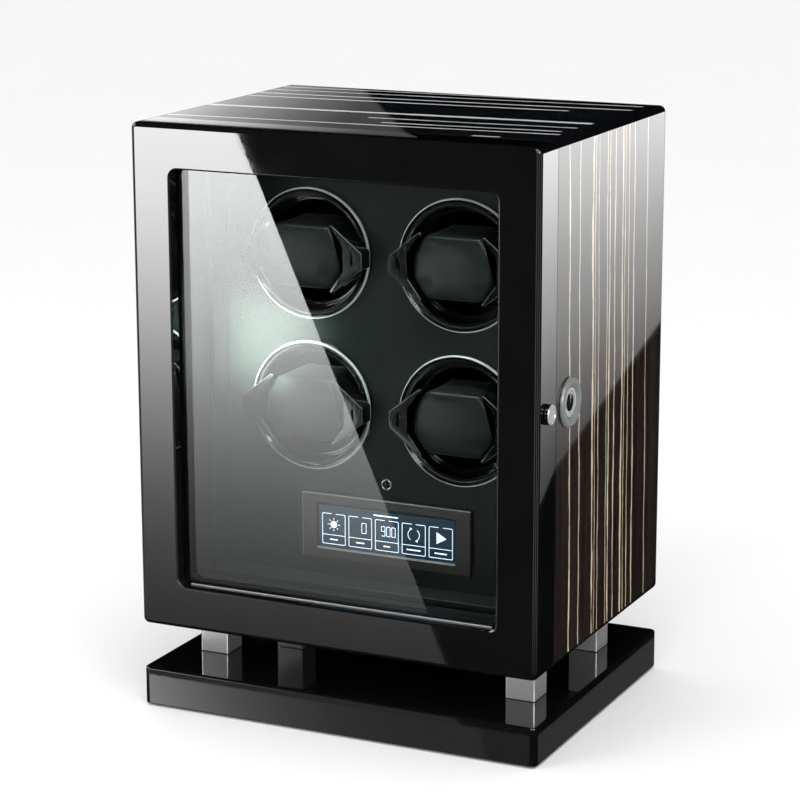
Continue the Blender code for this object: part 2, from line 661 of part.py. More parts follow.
def make_drive(finish):
    """The plate behind the cups, which reaches the fascia with six bosses, and what it carries."""
    face = FASCIA_FACE + PLATE_FACE
    back = face + PLATE_THICKNESS
    board = box((-PANEL_HALF, face, PANEL_LOW), (PANEL_HALF, back, PANEL_HIGH))
    plate = build("mount_plate", board, finish["steel"])
    holes = bmesh.new()
    bush_outer = 6 * MM
    bush_bore = SHAFT_RADIUS + GAP
    for row, level in (("upper", UPPER_ROW), ("lower", LOWER_ROW)):
        rod(holes, 4.5 * MM, face - GAP, back + GAP, "Y", (0, 0, level))
        for side, x in (("left", -COLUMN), ("right", COLUMN)):
            rod(holes, bush_outer + 0.4 * MM, face - GAP, back + GAP, "Y", (x, 0, level))
            profile = [
                (bush_bore, face - 1.5 * MM),
                (bush_outer + 2 * MM, face - 1.5 * MM),
                (bush_outer + 2 * MM, face - GAP),
                (bush_outer, face - GAP),
                (bush_outer, back),
                (bush_bore, back),
            ]
            bush = turned(profile, "Y", (x, 0, level), SMALL_SIDES)
            build(f"bearing_{row}_{side}", bush, finish["bronze"])

        can = [
            (0, face - 36 * MM),
            (5 * MM, face - 36 * MM),
            (5 * MM, face - 33 * MM),
            (MOTOR_RADIUS, face - 33 * MM),
            (MOTOR_RADIUS, face - GAP),
            (0, face - GAP),
        ]
        build(f"motor_{row}", turned(can, "Y", (0, 0, level), 24), finish["steel"])

        axis = pivot(f"pinion_{row}_axis", (0, face, level))
        gear_front = FASCIA_FACE + GEAR_FACE
        wheel = gear_mesh(PINION_TEETH, 1.5 * MM, gear_front, gear_front + GEAR_WIDTH)
        half_tooth = Matrix.Rotation(math.pi / PINION_TEETH, 4, "Y")
        bmesh.ops.transform(wheel, matrix=half_tooth, verts=wheel.verts)
        bmesh.ops.translate(wheel, verts=wheel.verts, vec=(0, 0, level))
        pinion = build(f"pinion_{row}", wheel, finish["nylon"], axis, (0, face, level))
        spindle = bmesh.new()
        rod(spindle, 2 * MM, face + GAP, gear_front + GEAR_WIDTH + 1 * MM, "Y", (0, 0, level))
        combine(pinion, "UNION", tool(f"spindle_{row}", spindle))
    bosses = bmesh.new()
    for x in (-105 * MM, 105 * MM):
        for z in (PANEL_LOW + 12 * MM, MIDDLE + 23 * MM, PANEL_HIGH - 12 * MM):
            start = FASCIA_FACE + FASCIA_THICKNESS + GAP
            rod(bosses, 4 * MM, start, face + 1 * MM, "Y", (x, 0, z), 8)
    combine(plate, "UNION", tool("plate_bosses", bosses))
    combine(plate, "DIFFERENCE", tool("plate_holes", holes))


def make_board(finish):
    """The controller on its four feet, inside the back panel."""
    face = BACK_FACE - 9 * MM
    thickness = 1.6 * MM
    low = Vector((-75 * MM, face, CABINET_BASE + 40 * MM))
    high = Vector((5 * MM, face + thickness, CABINET_BASE + 100 * MM))
    board = build("control_board", box(low, high), finish["board"])
    chips = bmesh.new()
    for x, z, wide, tall, deep in ((10, 12, 14, 9, 8), (32, 12, 14, 9, 8), (24, 38, 16, 16, 2.5)):
        corner = low + Vector((x * MM, -deep * MM, z * MM))
        add_box(chips, corner, corner + Vector((wide * MM, (deep + 0.4) * MM, tall * MM)))
    combine(board, "UNION", tool("board_components", chips))
    feet = bmesh.new()
    for x in (low.x + 5 * MM, high.x - 5 * MM):
        for z in (low.z + 5 * MM, high.z - 5 * MM):
            rod(feet, 2.5 * MM, face + 0.8 * MM, BACK_FACE + FIT - GAP, "Y", (x, 0, z), 8)
    combine(board, "UNION", tool("board_feet", feet))


def make_lock(finish):
    """The reader on the right side, the lock in the wall behind it, and the bolt, drawn back."""
    spot = (0, LOCK_Y, LOCK_Z)
    profile = [
        (LOCK_DISH, HALF + GAP),
        (LOCK_RADIUS, HALF + GAP),
        (LOCK_RADIUS, HALF + 1.8 * MM),
        (LOCK_RADIUS - 0.6 * MM, HALF + 2.3 * MM),
        (LOCK_DISH + 1 * MM, HALF + 2.3 * MM),
        (LOCK_DISH, HALF + 1.3 * MM),
    ]
    build("lock_bezel", turned(profile, "X", spot, ROUND_SIDES), finish["satin"])
    stem = 7 * MM
    profile = [
        (0, BOLT_X + 6 * MM),
        (stem, BOLT_X + 6 * MM),
        (stem, HALF + GAP),
        (LOCK_DISH - GAP, HALF + GAP),
        (LOCK_DISH - GAP, HALF + 1 * MM),
        (6.5 * MM, HALF + 0.6 * MM),
        (0, HALF + 0.6 * MM),
    ]
    build("lock_sensor", turned(profile, "X", spot, 24), finish["gloss"])

    case_half = Vector((5.6 * MM, 0, 16.6 * MM))
    centre = Vector((BOLT_X, CARCASS_FRONT + FIT, LOCK_Z))
    case = box(centre - case_half, centre + case_half + Vector((0, 34.6 * MM, 0)))
    body = build("lock_body", case, finish["steel"])
    slot = Vector((3 * MM, 0, 4 * MM))
    low = centre - slot - Vector((0, 2 * MM, 0))
    combine(body, "DIFFERENCE", tool("bolt_slot", box(low, centre + slot + Vector((0, 24 * MM, 0)))))

    bolt_half = Vector((2.6 * MM, 0, 3.6 * MM))
    start = centre + Vector((0, GAP, 0))
    bolt = box(start - bolt_half, start + bolt_half + Vector((0, 20 * MM, 0)))
    axis = pivot("latch_axis", start)
    build("latch_bolt", bolt, finish["steel"], axis, start)


def make_door(finish, hinge_cuts):
    """The framed glass door, modelled shut, about its hinge axis."""
    axis = pivot("door_axis", (HINGE_X, HINGE_Y, MIDDLE))
    spot = axis.location
    slab = box((-HALF, FRONT, CABINET_BASE), (HALF, DOOR_BACK, CABINET_TOP))
    bevel_where(slab, lambda edge: runs_along(edge, 1), EDGE_RADIUS, 3)
    bevel_where(slab, lambda edge: lies_at(edge, 1, FRONT), EDGE_RADIUS, 3)
    frame = build("door_frame", slab, finish["lacquer"], axis, spot)
    outline = rounded_rectangle(WINDOW_HALF, WINDOW_LOW, WINDOW_HIGH, WINDOW_RADIUS)
    window = tool("window", prism(outline, FRONT - 5 * MM, DOOR_BACK + 5 * MM))
    reach = WINDOW_HALF + REBATE_WIDTH
    low = (-reach, REBATE_FACE, WINDOW_LOW - REBATE_WIDTH)
    high = (reach, DOOR_BACK + 5 * MM, WINDOW_HIGH + REBATE_WIDTH)
    rebate = tool("glass_rebate", box(low, high))

    plate_half = Vector((7 * MM, 0, 12 * MM))
    centre = Vector((BOLT_X, DOOR_BACK, LOCK_Z))
    recess = bmesh.new()
    rise = Vector((FIT, 1 * MM, FIT))
    add_box(recess, centre - plate_half - rise - Vector((0, 0.5 * MM, 0)), centre + plate_half + rise)
    keeper_recess = tool("keeper_recess", recess)
    pocket_half = Vector((3.6 * MM, 9 * MM, 4.6 * MM))
    keeper_pocket = tool("keeper_pocket", box(centre - pocket_half, centre + pocket_half))
    stem = bmesh.new()
    knob_y = FRONT + DOOR_THICKNESS / 2
    rod(stem, 2.4 * MM, HALF - 9 * MM, HALF + 5 * MM, "X", (0, knob_y, LOCK_Z))
    stem_hole = tool("knob_hole", stem)
    cuts = (window, rebate, keeper_recess, keeper_pocket, stem_hole, *hinge_cuts)
    combine(frame, "DIFFERENCE", *cuts)

    low = centre - plate_half - Vector((0, 1.2 * MM, 0))
    plate = build("keeper_plate", box(low, centre + plate_half), finish["steel"], axis, spot)
    slot = Vector((3.2 * MM, 5 * MM, 4.2 * MM))
    combine(plate, "DIFFERENCE", tool("keeper_slot", box(centre - slot, centre + slot)))

    edge = reach - FIT
    low = (-edge, REBATE_FACE + GAP, WINDOW_LOW - REBATE_WIDTH + FIT)
    high = (edge, REBATE_FACE + GAP + GLASS_THICKNESS, WINDOW_HIGH + REBATE_WIDTH - FIT)
    build("door_glass", box(low, high), finish["glass"], axis, spot)
    low = (-edge, REBATE_FACE + 2 * GAP + GLASS_THICKNESS, WINDOW_LOW - REBATE_WIDTH + FIT)
    high = (edge, DOOR_BACK - GAP, WINDOW_HIGH + REBATE_WIDTH - FIT)
    beads = build("glass_beads", box(low, high), finish["lacquer"], axis, spot)
    combine(beads, "DIFFERENCE", window)

    profile = [
        (0, HALF - 8 * MM),
        (2 * MM, HALF - 8 * MM),
        (2 * MM, HALF + GAP),
        (KNOB_RADIUS, HALF + GAP),
        (KNOB_RADIUS, HALF + SIDE_PROUD - 0.9 * MM),
        (KNOB_RADIUS - 0.9 * MM, HALF + SIDE_PROUD),
        (0, HALF + SIDE_PROUD),
    ]
    knob = turned(profile, "X", (0, knob_y, LOCK_Z), 24)
    build("door_knob", knob, finish["aluminium"], axis, spot)
    make_hinges(finish, axis)


def make_hinges(finish, axis):
    """Two lift-off hinges: the lower knuckle and its pin belong to the carcass, the upper one to the door."""
    neck_start = HINGE_X + KNUCKLE_BORE + GAP
    inner = HINGE_X + KNUCKLE_RADIUS + 0.5 * MM
    for place_name, level in zip(("lower", "upper"), HINGE_LEVELS):
        spot = (HINGE_X, HINGE_Y, level)
        solid_knuckle = [
            (0, -HINGE_HALF),
            (KNUCKLE_RADIUS, -HINGE_HALF),
            (KNUCKLE_RADIUS, -GAP / 2),
            (HINGE_PIN, -GAP / 2),
            (HINGE_PIN, HINGE_HALF - 1 * MM),
            (0, HINGE_HALF - 1 * MM),
        ]
        sleeve = [
            (KNUCKLE_BORE, GAP / 2),
            (KNUCKLE_RADIUS, GAP / 2),
            (KNUCKLE_RADIUS, HINGE_HALF),
            (KNUCKLE_BORE, HINGE_HALF),
        ]
        cabinet_leaf = CARCASS_FRONT + 0.2 * MM
        door_leaf = DOOR_BACK - 0.2 * MM - LEAF_THICKNESS
        kinds = (
            ("cabinet", cabinet_leaf, solid_knuckle, -HINGE_HALF, -GAP, None),
            ("door", door_leaf, sleeve, GAP, HINGE_HALF, axis),
        )
        for kind, leaf_y, profile, start, stop, parent in kinds:
            name = f"hinge_{place_name}_{kind}_leaf"
            low = (inner, leaf_y, level - HINGE_HALF)
            leaf = box(low, (LEAF_EDGE, leaf_y + LEAF_THICKNESS, level + HINGE_HALF))
            origin = axis.location if parent else (0, 0, 0)
            hinge = build(name, leaf, finish["steel"], parent, origin)
            low = (neck_start, leaf_y + 0.1 * MM, level + start + 0.1 * MM)
            high = (inner + 1 * MM, leaf_y + LEAF_THICKNESS - 0.1 * MM, level + stop - 0.1 * MM)
            neck = tool(name + "_neck", box(low, high))
            knuckle = tool(name + "_knuckle", turned(profile, "Z", spot, 16))
            combine(hinge, "UNION", neck, knuckle)


def main():
    clear_scene()
    finish = make_materials()
    stud_holes = make_base(finish)
    hinge_cuts = hinge_tools()
    make_carcass(finish, stud_holes, hinge_cuts)
    make_interior(finish)
    make_rotors(finish)
    make_drive(finish)
    make_board(finish)
    make_lock(finish)
    make_door(finish, hinge_cuts)


main()
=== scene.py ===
"""The finished looks of a four-rotor watch winder cabinet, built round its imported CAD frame.

Metres, in the frame's own axes: +Z up, and the door faces -Y. Every piece is placed from the boxes
of the CAD nodes, rides on its node's body and stays inside its node's space.
"""

import math

import bmesh
import bpy
import numpy as np
from mathutils import Matrix, Vector


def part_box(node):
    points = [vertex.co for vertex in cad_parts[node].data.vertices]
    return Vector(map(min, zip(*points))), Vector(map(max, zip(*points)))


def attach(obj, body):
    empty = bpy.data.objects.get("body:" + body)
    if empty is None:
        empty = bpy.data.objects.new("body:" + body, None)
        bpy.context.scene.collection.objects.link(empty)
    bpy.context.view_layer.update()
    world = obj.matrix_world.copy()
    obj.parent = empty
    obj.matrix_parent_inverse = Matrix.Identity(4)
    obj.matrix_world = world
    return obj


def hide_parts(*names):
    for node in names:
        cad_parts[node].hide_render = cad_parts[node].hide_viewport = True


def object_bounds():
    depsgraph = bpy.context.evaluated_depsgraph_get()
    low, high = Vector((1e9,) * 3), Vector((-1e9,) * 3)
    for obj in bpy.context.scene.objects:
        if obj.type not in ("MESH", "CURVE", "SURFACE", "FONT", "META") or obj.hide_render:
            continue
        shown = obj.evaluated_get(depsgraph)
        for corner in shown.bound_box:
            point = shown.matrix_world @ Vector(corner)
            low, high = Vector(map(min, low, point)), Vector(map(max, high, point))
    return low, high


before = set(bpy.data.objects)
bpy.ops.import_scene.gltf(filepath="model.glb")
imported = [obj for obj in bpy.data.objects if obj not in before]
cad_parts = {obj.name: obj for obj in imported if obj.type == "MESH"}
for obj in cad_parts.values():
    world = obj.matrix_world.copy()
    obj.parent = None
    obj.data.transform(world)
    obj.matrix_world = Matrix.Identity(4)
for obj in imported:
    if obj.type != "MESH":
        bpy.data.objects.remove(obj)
CAD_LOW, CAD_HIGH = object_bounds()

MM = 0.001
SHARP_ANGLE = math.radians(32)

# Sizes that the frame's boxes don't give
EDGE_RADIUS = 4 * MM  # outer edges of the cabinet, the door and the plinth
EDGE_STEPS = 8
DOOR_FRONT_RADIUS = 3 * MM  # edges round the door's front face
GLASS_LAP = 4.1 * MM  # how far the glass reaches behind the door frame
WINDOW_RADIUS = 5.5 * MM
WINDOW_EASE = 1.1 * MM  # rounding round the window's front edge
CLEAR = 0.4 * MM  # room round a piece in its pocket
POCKET_CLEAR = Vector((0.4, 0.5, 0.4)) * MM
OVERCUT = 5 * MM  # how far a cutter runs past the face that it opens
GAP = 0.3 * MM  # between faces that touch
WALL = 18 * MM
LINER_WALL = 4.5 * MM
TURN_SIDES = 128
SMALL_TURN_SIDES = 64
SCREW_SIDES = 32

CAMERA_PLACE = Vector((0.71485, -1.50971, 0.5940))
CAMERA_YAW = math.radians(25.44)
CAMERA_PITCH = math.radians(13.56)
CAMERA_ROLL = math.radians(-0.14)
CAMERA_LENS = 121.7

# Tags of the rotors, in the names of their bodies and nodes
TAGS = ("upper_left", "upper_right", "lower_left", "lower_right")


def middle_of(node):
    low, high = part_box(node)
    return (low + high) / 2


# ---------------------------------------------------------------- mesh helpers


def solid_box(low, high):
    low, high = Vector(low), Vector(high)
    place = Matrix.Translation((low + high) / 2) @ Matrix.Diagonal((*(high - low), 1))
    bm = bmesh.new()
    bmesh.ops.create_cube(bm, size=1.0, matrix=place)
    return bm


def bevel(bm, edges, radius, segments):
    bmesh.ops.bevel(bm, geom=edges, offset=radius, offset_type="OFFSET", segments=segments,
                    profile=0.5, affect="EDGES", clamp_overlap=True)


def round_along(bm, axis, radius, segments=EDGE_STEPS):
    """Rounds the edges that run along an axis, given by its number."""
    edges = []
    for edge in bm.edges:
        direction = (edge.verts[1].co - edge.verts[0].co).normalized()
        if abs(direction[axis]) > 0.999:
            edges.append(edge)
    bevel(bm, edges, radius, segments)


def round_at(bm, axis, level, radius, segments=EDGE_STEPS, only_sharp=False):
    """Rounds the edges that lie at a level of an axis."""
    edges = []
    for edge in bm.edges:
        level_with_it = all(abs(vert.co[axis] - level) < 1e-6 for vert in edge.verts)
        if level_with_it and (not only_sharp or edge.calc_face_angle(0) > 1.0):
            edges.append(edge)
    bevel(bm, edges, radius, segments)


def quarter(steps):
    """The angles of a quarter turn."""
    return [math.pi / 2 * step / steps for step in range(steps + 1)]


def rounded(corners, steps=6):
    """A closed outline from (x, z) or (x, z, radius) corners, with an arc wherever there is a radius."""
    points = [Vector(corner[:2]) for corner in corners]
    outline = []
    for index, (here, corner) in enumerate(zip(points, corners)):
        if len(corner) == 2:
            outline.append(here)
            continue
        radius = corner[2]
        back = (points[index - 1] - here).normalized()
        on = (points[(index + 1) % len(points)] - here).normalized()
        half = back.angle(on) / 2
        centre = here + (back + on).normalized() * (radius / math.sin(half))
        reach = radius / math.tan(half)
        start = here + back * reach - centre
        stop = here + on * reach - centre
        for step in range(steps + 1):
            outline.append(centre + start.slerp(stop, step / steps).normalized() * radius)
    return [tuple(point) for point in outline]


def turned(profile, axis, centre, sides=TURN_SIDES):
    """A closed solid turned about an axis, from a closed profile of (radius, place along the axis)."""
    along = Vector({"X": (1, 0, 0), "Y": (0, 1, 0), "Z": (0, 0, 1)}[axis])
    first = Vector((0, 0, 1)) if axis != "Z" else Vector((1, 0, 0))
    second = along.cross(first)
    bm = bmesh.new()
    rings = []
    for radius, place in profile:
        spot = Vector(centre) + along * place
        if radius < 1e-7:
            rings.append([bm.verts.new(spot)])
            continue
        ring = []
        for side in range(sides):
            angle = 2 * math.pi * side / sides
            ring.append(bm.verts.new(spot + (first * math.cos(angle) + second * math.sin(angle)) * radius))
        rings.append(ring)
    for ring, after in zip(rings, rings[1:] + rings[:1]):
        if len(ring) == 1 and len(after) == 1:
            continue
        for side in range(sides):
            turn = (side + 1) % sides
            corners = [ring[side % len(ring)], ring[turn % len(ring)]]
            corners += [after[turn % len(after)], after[side % len(after)]]
            bm.faces.new(list(dict.fromkeys(corners)))
    return bm


def lathe(corners, axis, centre, sides=TURN_SIDES, steps=5):
    """A turned solid, from (radius, place along the axis) corners that may carry a rounding."""
    return turned(rounded(corners, steps), axis, centre, sides)


def drill(radius, axis, centre, start, stop, sides=TURN_SIDES):
    """A plain round cutter between two places along its axis."""
    return turned([(0, start), (radius, start), (radius, stop), (0, stop)], axis, centre, sides)


def prism(outline, front, back):
    """An outline of (x, z) points, extruded along Y."""
    bm = bmesh.new()
    layers = [[bm.verts.new((x, level, z)) for x, z in outline] for level in (front, back)]
    for index in range(len(outline)):
        bm.faces.new((layers[0][index - 1], layers[0][index], layers[1][index], layers[1][index - 1]))
    bm.faces.new(layers[0])
    bm.faces.new(list(reversed(layers[1])))
    return bm


def lofted(outlines):
    """A closed solid through (y, outline) layers that all have the same number of points."""
    bm = bmesh.new()
    layers = [[bm.verts.new((x, level, z)) for x, z in outline] for level, outline in outlines]
    for low, high in zip(layers, layers[1:]):
        for index in range(len(low)):
            bm.faces.new((low[index - 1], low[index], high[index], high[index - 1]))
    ends = [bm.faces.new(layers[0]), bm.faces.new(list(reversed(layers[-1])))]
    bmesh.ops.triangulate(bm, faces=ends, ngon_method="EAR_CLIP")
    return bm


def rectangle(half_x, low_z, high_z, radius, steps=8, centre_x=0.0):
    corners = [(-half_x, low_z), (half_x, low_z), (half_x, high_z), (-half_x, high_z)]
    return [(x + centre_x, z) for x, z in rounded([(*corner, radius) for corner in corners], steps)]


def link(name, data):
    obj = bpy.data.objects.new(name, data)
    bpy.context.scene.collection.objects.link(obj)
    return obj


def raw_object(name, bm):
    bmesh.ops.recalc_face_normals(bm, faces=bm.faces)
    mesh = bpy.data.meshes.new(name)
    bm.to_mesh(mesh)
    bm.free()
    return link(name, mesh)


def settled_mesh(obj):
    """A new mesh of the object with its modifiers applied."""
    bpy.context.view_layer.update()
    graph = bpy.context.evaluated_depsgraph_get()
    mesh = bpy.data.meshes.new_from_object(obj.evaluated_get(graph))
    mesh.name = obj.name
    return mesh


def settle(obj):
    mesh = settled_mesh(obj)
    obj.modifiers.clear()
    obj.data = mesh


def cut(obj, *cutters, operation="DIFFERENCE"):
    """Applies Booleans with the given bmesh solids."""
    helpers = [raw_object(f"{obj.name}_cutter_{index}", item) for index, item in enumerate(cutters)]
    for helper in helpers:
        modifier = obj.modifiers.new(helper.name, "BOOLEAN")
        modifier.operation = operation
        modifier.solver = "EXACT"
        modifier.object = helper
    settle(obj)
    for helper in helpers:
        bpy.data.objects.remove(helper, do_unlink=True)


def shade(obj):
    """Smooth shading that keeps flat faces flat and sharp edges sharp."""
    obj.data.shade_smooth()
    obj.data.set_sharp_from_angle(angle=SHARP_ANGLE)
    modifier = obj.modifiers.new("flat_faces", "WEIGHTED_NORMAL")
    modifier.keep_sharp = True
    modifier.weight = 80
    settle(obj)


def piece(obj, body, finishes, replaced=()):
    """Gives a piece its finish and its place in the frame."""
    obj.data.materials.clear()
    for material in finishes if isinstance(finishes, list) else [finishes]:
        obj.data.materials.append(material)
    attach(obj, body)
    if replaced:
        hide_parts(*replaced)
    return obj


def made(name, bm, body, finishes, replaced=()):
    obj = raw_object(name, bm)
    shade(obj)
    return piece(obj, body, finishes, replaced)


def paint(obj, finish_at):
    """Gives each face the finish whose number finish_at returns for its middle and its normal."""
    for polygon in obj.data.polygons:
        polygon.material_index = int(finish_at(polygon.center, polygon.normal))


# ---------------------------------------------------------------- finishes


class Tree:
    """A node tree under construction. Any input takes a number, a colour or another node's socket."""

    def __init__(self, tree):
        self.tree = tree
        tree.nodes.clear()

    def feed(self, socket, value):
        if isinstance(value, bpy.types.NodeSocket):
            self.tree.links.new(value, socket)
        else:
            socket.default_value = value

    def add(self, kind, inputs=None, **settings):
        node = self.tree.nodes.new(kind)
        for key, value in settings.items():
            setattr(node, key, value)
        for key, value in (inputs or {}).items():
            self.feed(node.inputs[key], value)
        return node

    def math(self, operation, *values):
        return self.add("ShaderNodeMath", dict(enumerate(values)), operation=operation).outputs[0]

    def plus(self, first, second):
        return self.math("ADD", first, second)

    def minus(self, first, second):
        return self.math("SUBTRACT", first, second)

    def times(self, first, second):
        return self.math("MULTIPLY", first, second)

    def vector_math(self, operation, *values):
        return self.add("ShaderNodeVectorMath", dict(enumerate(values)), operation=operation).outputs[0]

    def parts(self, vector):
        return self.add("ShaderNodeSeparateXYZ", {0: vector}).outputs

    def span(self, value, low, high, to_low=0.0, to_high=1.0, smooth=False):
        """The value's place between low and high, clamped, as a number between two others."""
        inputs = {"Value": value, "From Min": low, "From Max": high, "To Min": to_low, "To Max": to_high}
        kind = "SMOOTHSTEP" if smooth else "LINEAR"
        return self.add("ShaderNodeMapRange", inputs, interpolation_type=kind).outputs["Result"]

    def blend(self, factor, first, second):
        return self.add("ShaderNodeMix", {0: factor, 6: first, 7: second}, data_type="RGBA").outputs[2]

    def between(self, value, first, second, low=0.3, high=0.7):
        """The first colour where the value is low, going over to the second where it is high."""
        return self.blend(self.span(value, low, high), first, second)

    def place(self, scale=None):
        """Object coordinates in metres, stretched by a scale."""
        coordinates = self.add("ShaderNodeTexCoord").outputs["Object"]
        return self.vector_math("MULTIPLY", coordinates, scale) if scale else coordinates

    def noise(self, scale, detail=3.0, roughness=0.5, stretch=None, vector=None):
        inputs = {"Vector": vector or self.place(stretch), "Scale": scale, "Detail": detail,
                  "Roughness": roughness, "Distortion": 0.0}
        return self.add("ShaderNodeTexNoise", inputs).outputs[0]

    def bump(self, height, distance):
        inputs = {"Height": height, "Distance": distance, "Strength": 1.0}
        return self.add("ShaderNodeBump", inputs).outputs["Normal"]

    def principled(self, **inputs):
        """A Principled shader, with its inputs' names written with underscores."""
        named = {key.replace("_", " "): value for key, value in inputs.items()}
        return self.add("ShaderNodeBsdfPrincipled", named).outputs["BSDF"]

    def output(self, surface):
        self.add("ShaderNodeOutputMaterial", {"Surface": surface})


def new_tree(name):
    material = bpy.data.materials.new(name)
    material.use_nodes = True
    return material, Tree(material.node_tree)


def grey(value):
    return (value, value, value, 1.0)


def toned(tint, factor=1.0):
    """A tint as a shader's colour, made brighter or darker by a factor."""
    return (*(factor * part for part in tint), 1.0)


def finish(build):
    """Turns a function that returns a surface into one that makes the material of a given name."""

    def make(name, *values):
        material, t = new_tree(name)
        t.output(build(t, *values))
        return material

    return make


@finish
def gloss_lacquer(t, tint, roughness):
    """Buffed piano lacquer: a black body under a clear coat with the faintest polishing haze."""
    haze = t.noise(28.0, 4.0, 0.6)
    return t.principled(
        Base_Color=t.between(haze, toned(tint), toned(tint, 1.35)),
        Roughness=t.span(haze, 0.3, 0.75, roughness, roughness + 0.02),
        IOR=1.5,
        Coat_Weight=1.0, Coat_Roughness=0.006, Coat_IOR=1.5,
        Normal=t.bump(t.noise(420.0, 1.0, 0.4), 0.000002),
    )


# Pale lines in the veneer: (place across the grain in mm, width in mm, how much it comes and goes)
# and, for a line that doesn't run the whole length, the places in m that it runs between
SIDE_LINES = (
    (52.0, 1.2, 0.95), (67.8, 0.95, 0.15), (89.0, 1.3, 0.95), (93.0, 0.6, 0.7), (98.4, 0.7, 0.5),
    (112.6, 0.8, 0.3), (116.8, 1.4, 0.7), (125.6, 1.0, 0.85), (138.4, 1.5, 0.7), (142.6, 0.5, 0.6),
    (149.0, 0.8, 0.6), (158.6, 1.1, 0.4), (181.5, 0.8, 0.25),
)
TOP_LINES = (
    (25.0, 2.0, 0.2, 0.078, 0.097), (47.0, 2.3, 0.2), (59.5, 2.2, 0.25, 0.005, 0.121),
    (77.0, 2.2, 0.25, -0.012, 0.124), (99.0, 5.2, 0.1), (150.0, 2.6, 0.2, -0.131, 0.09),
    (166.0, 2.7, 0.15), (185.0, 2.2, 0.3), (200.0, 2.4, 0.2),
)
HALO = 2.2 * MM  # how far the wood is browner beside a pale line


@finish
def ebony(t, across, along, lines, body, pale, glow, wander, start, stop, fade, lean, coat, ior):
    """Macassar ebony under clear lacquer: pale lines that swell and break, over dark streaks.

    across and along are axis letters. Lines show from start to stop along the length, fade out over
    fade, and lean by a share of it. glow is how brown the wood is beside them.
    """
    parts = t.parts(t.place())
    depth = t.minus(parts["XYZ".index(across)], CAD_LOW["XYZ".index(across)])
    length = parts["XYZ".index(along)]

    def stretched(share):
        scale = [1.0, 1.0, 1.0]
        scale["XYZ".index(along)] = share
        return scale

    drift = t.minus(t.noise(38.0, 2.0, 0.5, stretched(0.3)), 0.5)
    ripple = t.minus(t.noise(190.0, 2.0, 0.6, stretched(0.3)), 0.5)
    shift = t.plus(t.times(drift, wander), t.times(ripple, wander * 0.4))
    spot = t.plus(depth, t.minus(shift, t.times(length, lean)))
    ragged = t.minus(t.noise(1500.0, 3.0, 0.7, stretched(0.12)), 0.5)

    def shown(first, last):
        return t.times(t.span(length, first, first + fade), t.span(length, last, last - fade))

    mask, halo = 0.0, 0.0
    for index, (place, width, breaks, *ends) in enumerate(lines):
        away = t.math("ABSOLUTE", t.minus(spot, place * MM))
        seat = t.add("ShaderNodeCombineXYZ", {0: length, 1: 0.37 * index, 2: 0.0}).outputs[0]
        swell = t.noise(17.0, 3.0, 0.6, vector=seat)
        half_width = width * MM * 0.5
        half = t.span(swell, 0.30, 0.66, half_width * (1.1 - breaks), half_width * (1.1 + breaks))
        half = t.plus(half, t.times(ragged, half_width * 1.4))
        edge = 0.12 * MM + 0.1 * half_width
        outside = t.minus(away, half)
        line = t.minus(1.0, t.span(outside, -edge, edge))
        if ends:
            line = t.times(line, shown(*ends))
        mask = t.math("MAXIMUM", mask, line)
        halo = t.math("MAXIMUM", halo, t.minus(1.0, t.span(outside, 0.0, HALO)))
    mask = t.times(mask, shown(start, stop))

    streaks = t.noise(900.0, 4.0, 0.65, stretched(0.035))
    bands = t.noise(120.0, 3.0, 0.55, stretched(0.035))
    grain = t.noise(2600.0, 3.0, 0.7, stretched(0.035))
    dark = t.between(bands, toned(body), toned(body, 2.3), 0.35, 0.68)
    dark = t.between(streaks, dark, toned(body, 4.2), 0.5, 0.74)
    warm = t.times(halo, t.span(streaks, 0.36, 0.62))
    dark = t.blend(t.times(warm, glow), dark, (0.075, 0.042, 0.02, 1))
    light = t.between(grain, toned(pale), toned(pale, 0.55), 0.35, 0.7)
    return t.principled(
        Base_Color=t.blend(mask, dark, light),
        Roughness=t.span(streaks, 0.3, 0.8, 0.004, 0.011),
        IOR=ior,
        Coat_Weight=coat, Coat_Roughness=0.004, Coat_IOR=1.5,
        Normal=t.bump(t.times(t.span(grain, 0.2, 0.8), 0.5), 0.0000006),
    )


@finish
def metal(t, tint, roughness, brushed=None, grain=1.0, metallic=1.0):
    """A metal with fine directional scratches. brushed is the scale along X, Y and Z."""
    lay = t.noise(2200.0 * grain, 4.0, 0.7, brushed)
    cloud = t.noise(70.0, 3.0, 0.6)
    rough = t.span(lay, 0.3, 0.7, roughness * 0.75, roughness * 1.2)
    return t.principled(
        Base_Color=t.between(lay, toned(tint, 0.86), toned(tint)),
        Metallic=metallic,
        Roughness=t.plus(rough, t.span(cloud, 0.3, 0.7, 0.0, 0.05)),
        Normal=t.bump(lay, 0.000004),
    )


@finish
def leather(t, dark, light, grain_scale, depth, rough_low, rough_high):
    """Leatherette: cells of fine embossed grain with wrinkle lines between them."""
    warp = t.add("ShaderNodeTexNoise", {"Vector": t.place(), "Scale": 260.0, "Detail": 2.0}).outputs["Color"]
    bent = t.vector_math("ADD", t.place(), t.vector_math("MULTIPLY", warp, (0.0011, 0.0011, 0.0011)))
    cells = t.add("ShaderNodeTexVoronoi", {"Vector": bent, "Scale": grain_scale}, feature="DISTANCE_TO_EDGE")
    pebble = t.span(cells.outputs["Distance"], 0.0, 0.32, smooth=True)
    fine = t.noise(grain_scale * 2.4, 3.0, 0.6)
    base = t.between(t.noise(14.0, 3.0, 0.55), toned(dark), toned(light))
    return t.principled(
        Base_Color=t.blend(t.times(t.minus(1.0, pebble), 0.55), base, toned(dark, 0.35)),
        Roughness=t.span(fine, 0.25, 0.75, rough_low, rough_high),
        Specular_IOR_Level=0.45, Sheen_Weight=0.04, Sheen_Roughness=0.5,
        Normal=t.bump(t.plus(pebble, t.times(fine, 0.35)), depth),
    )


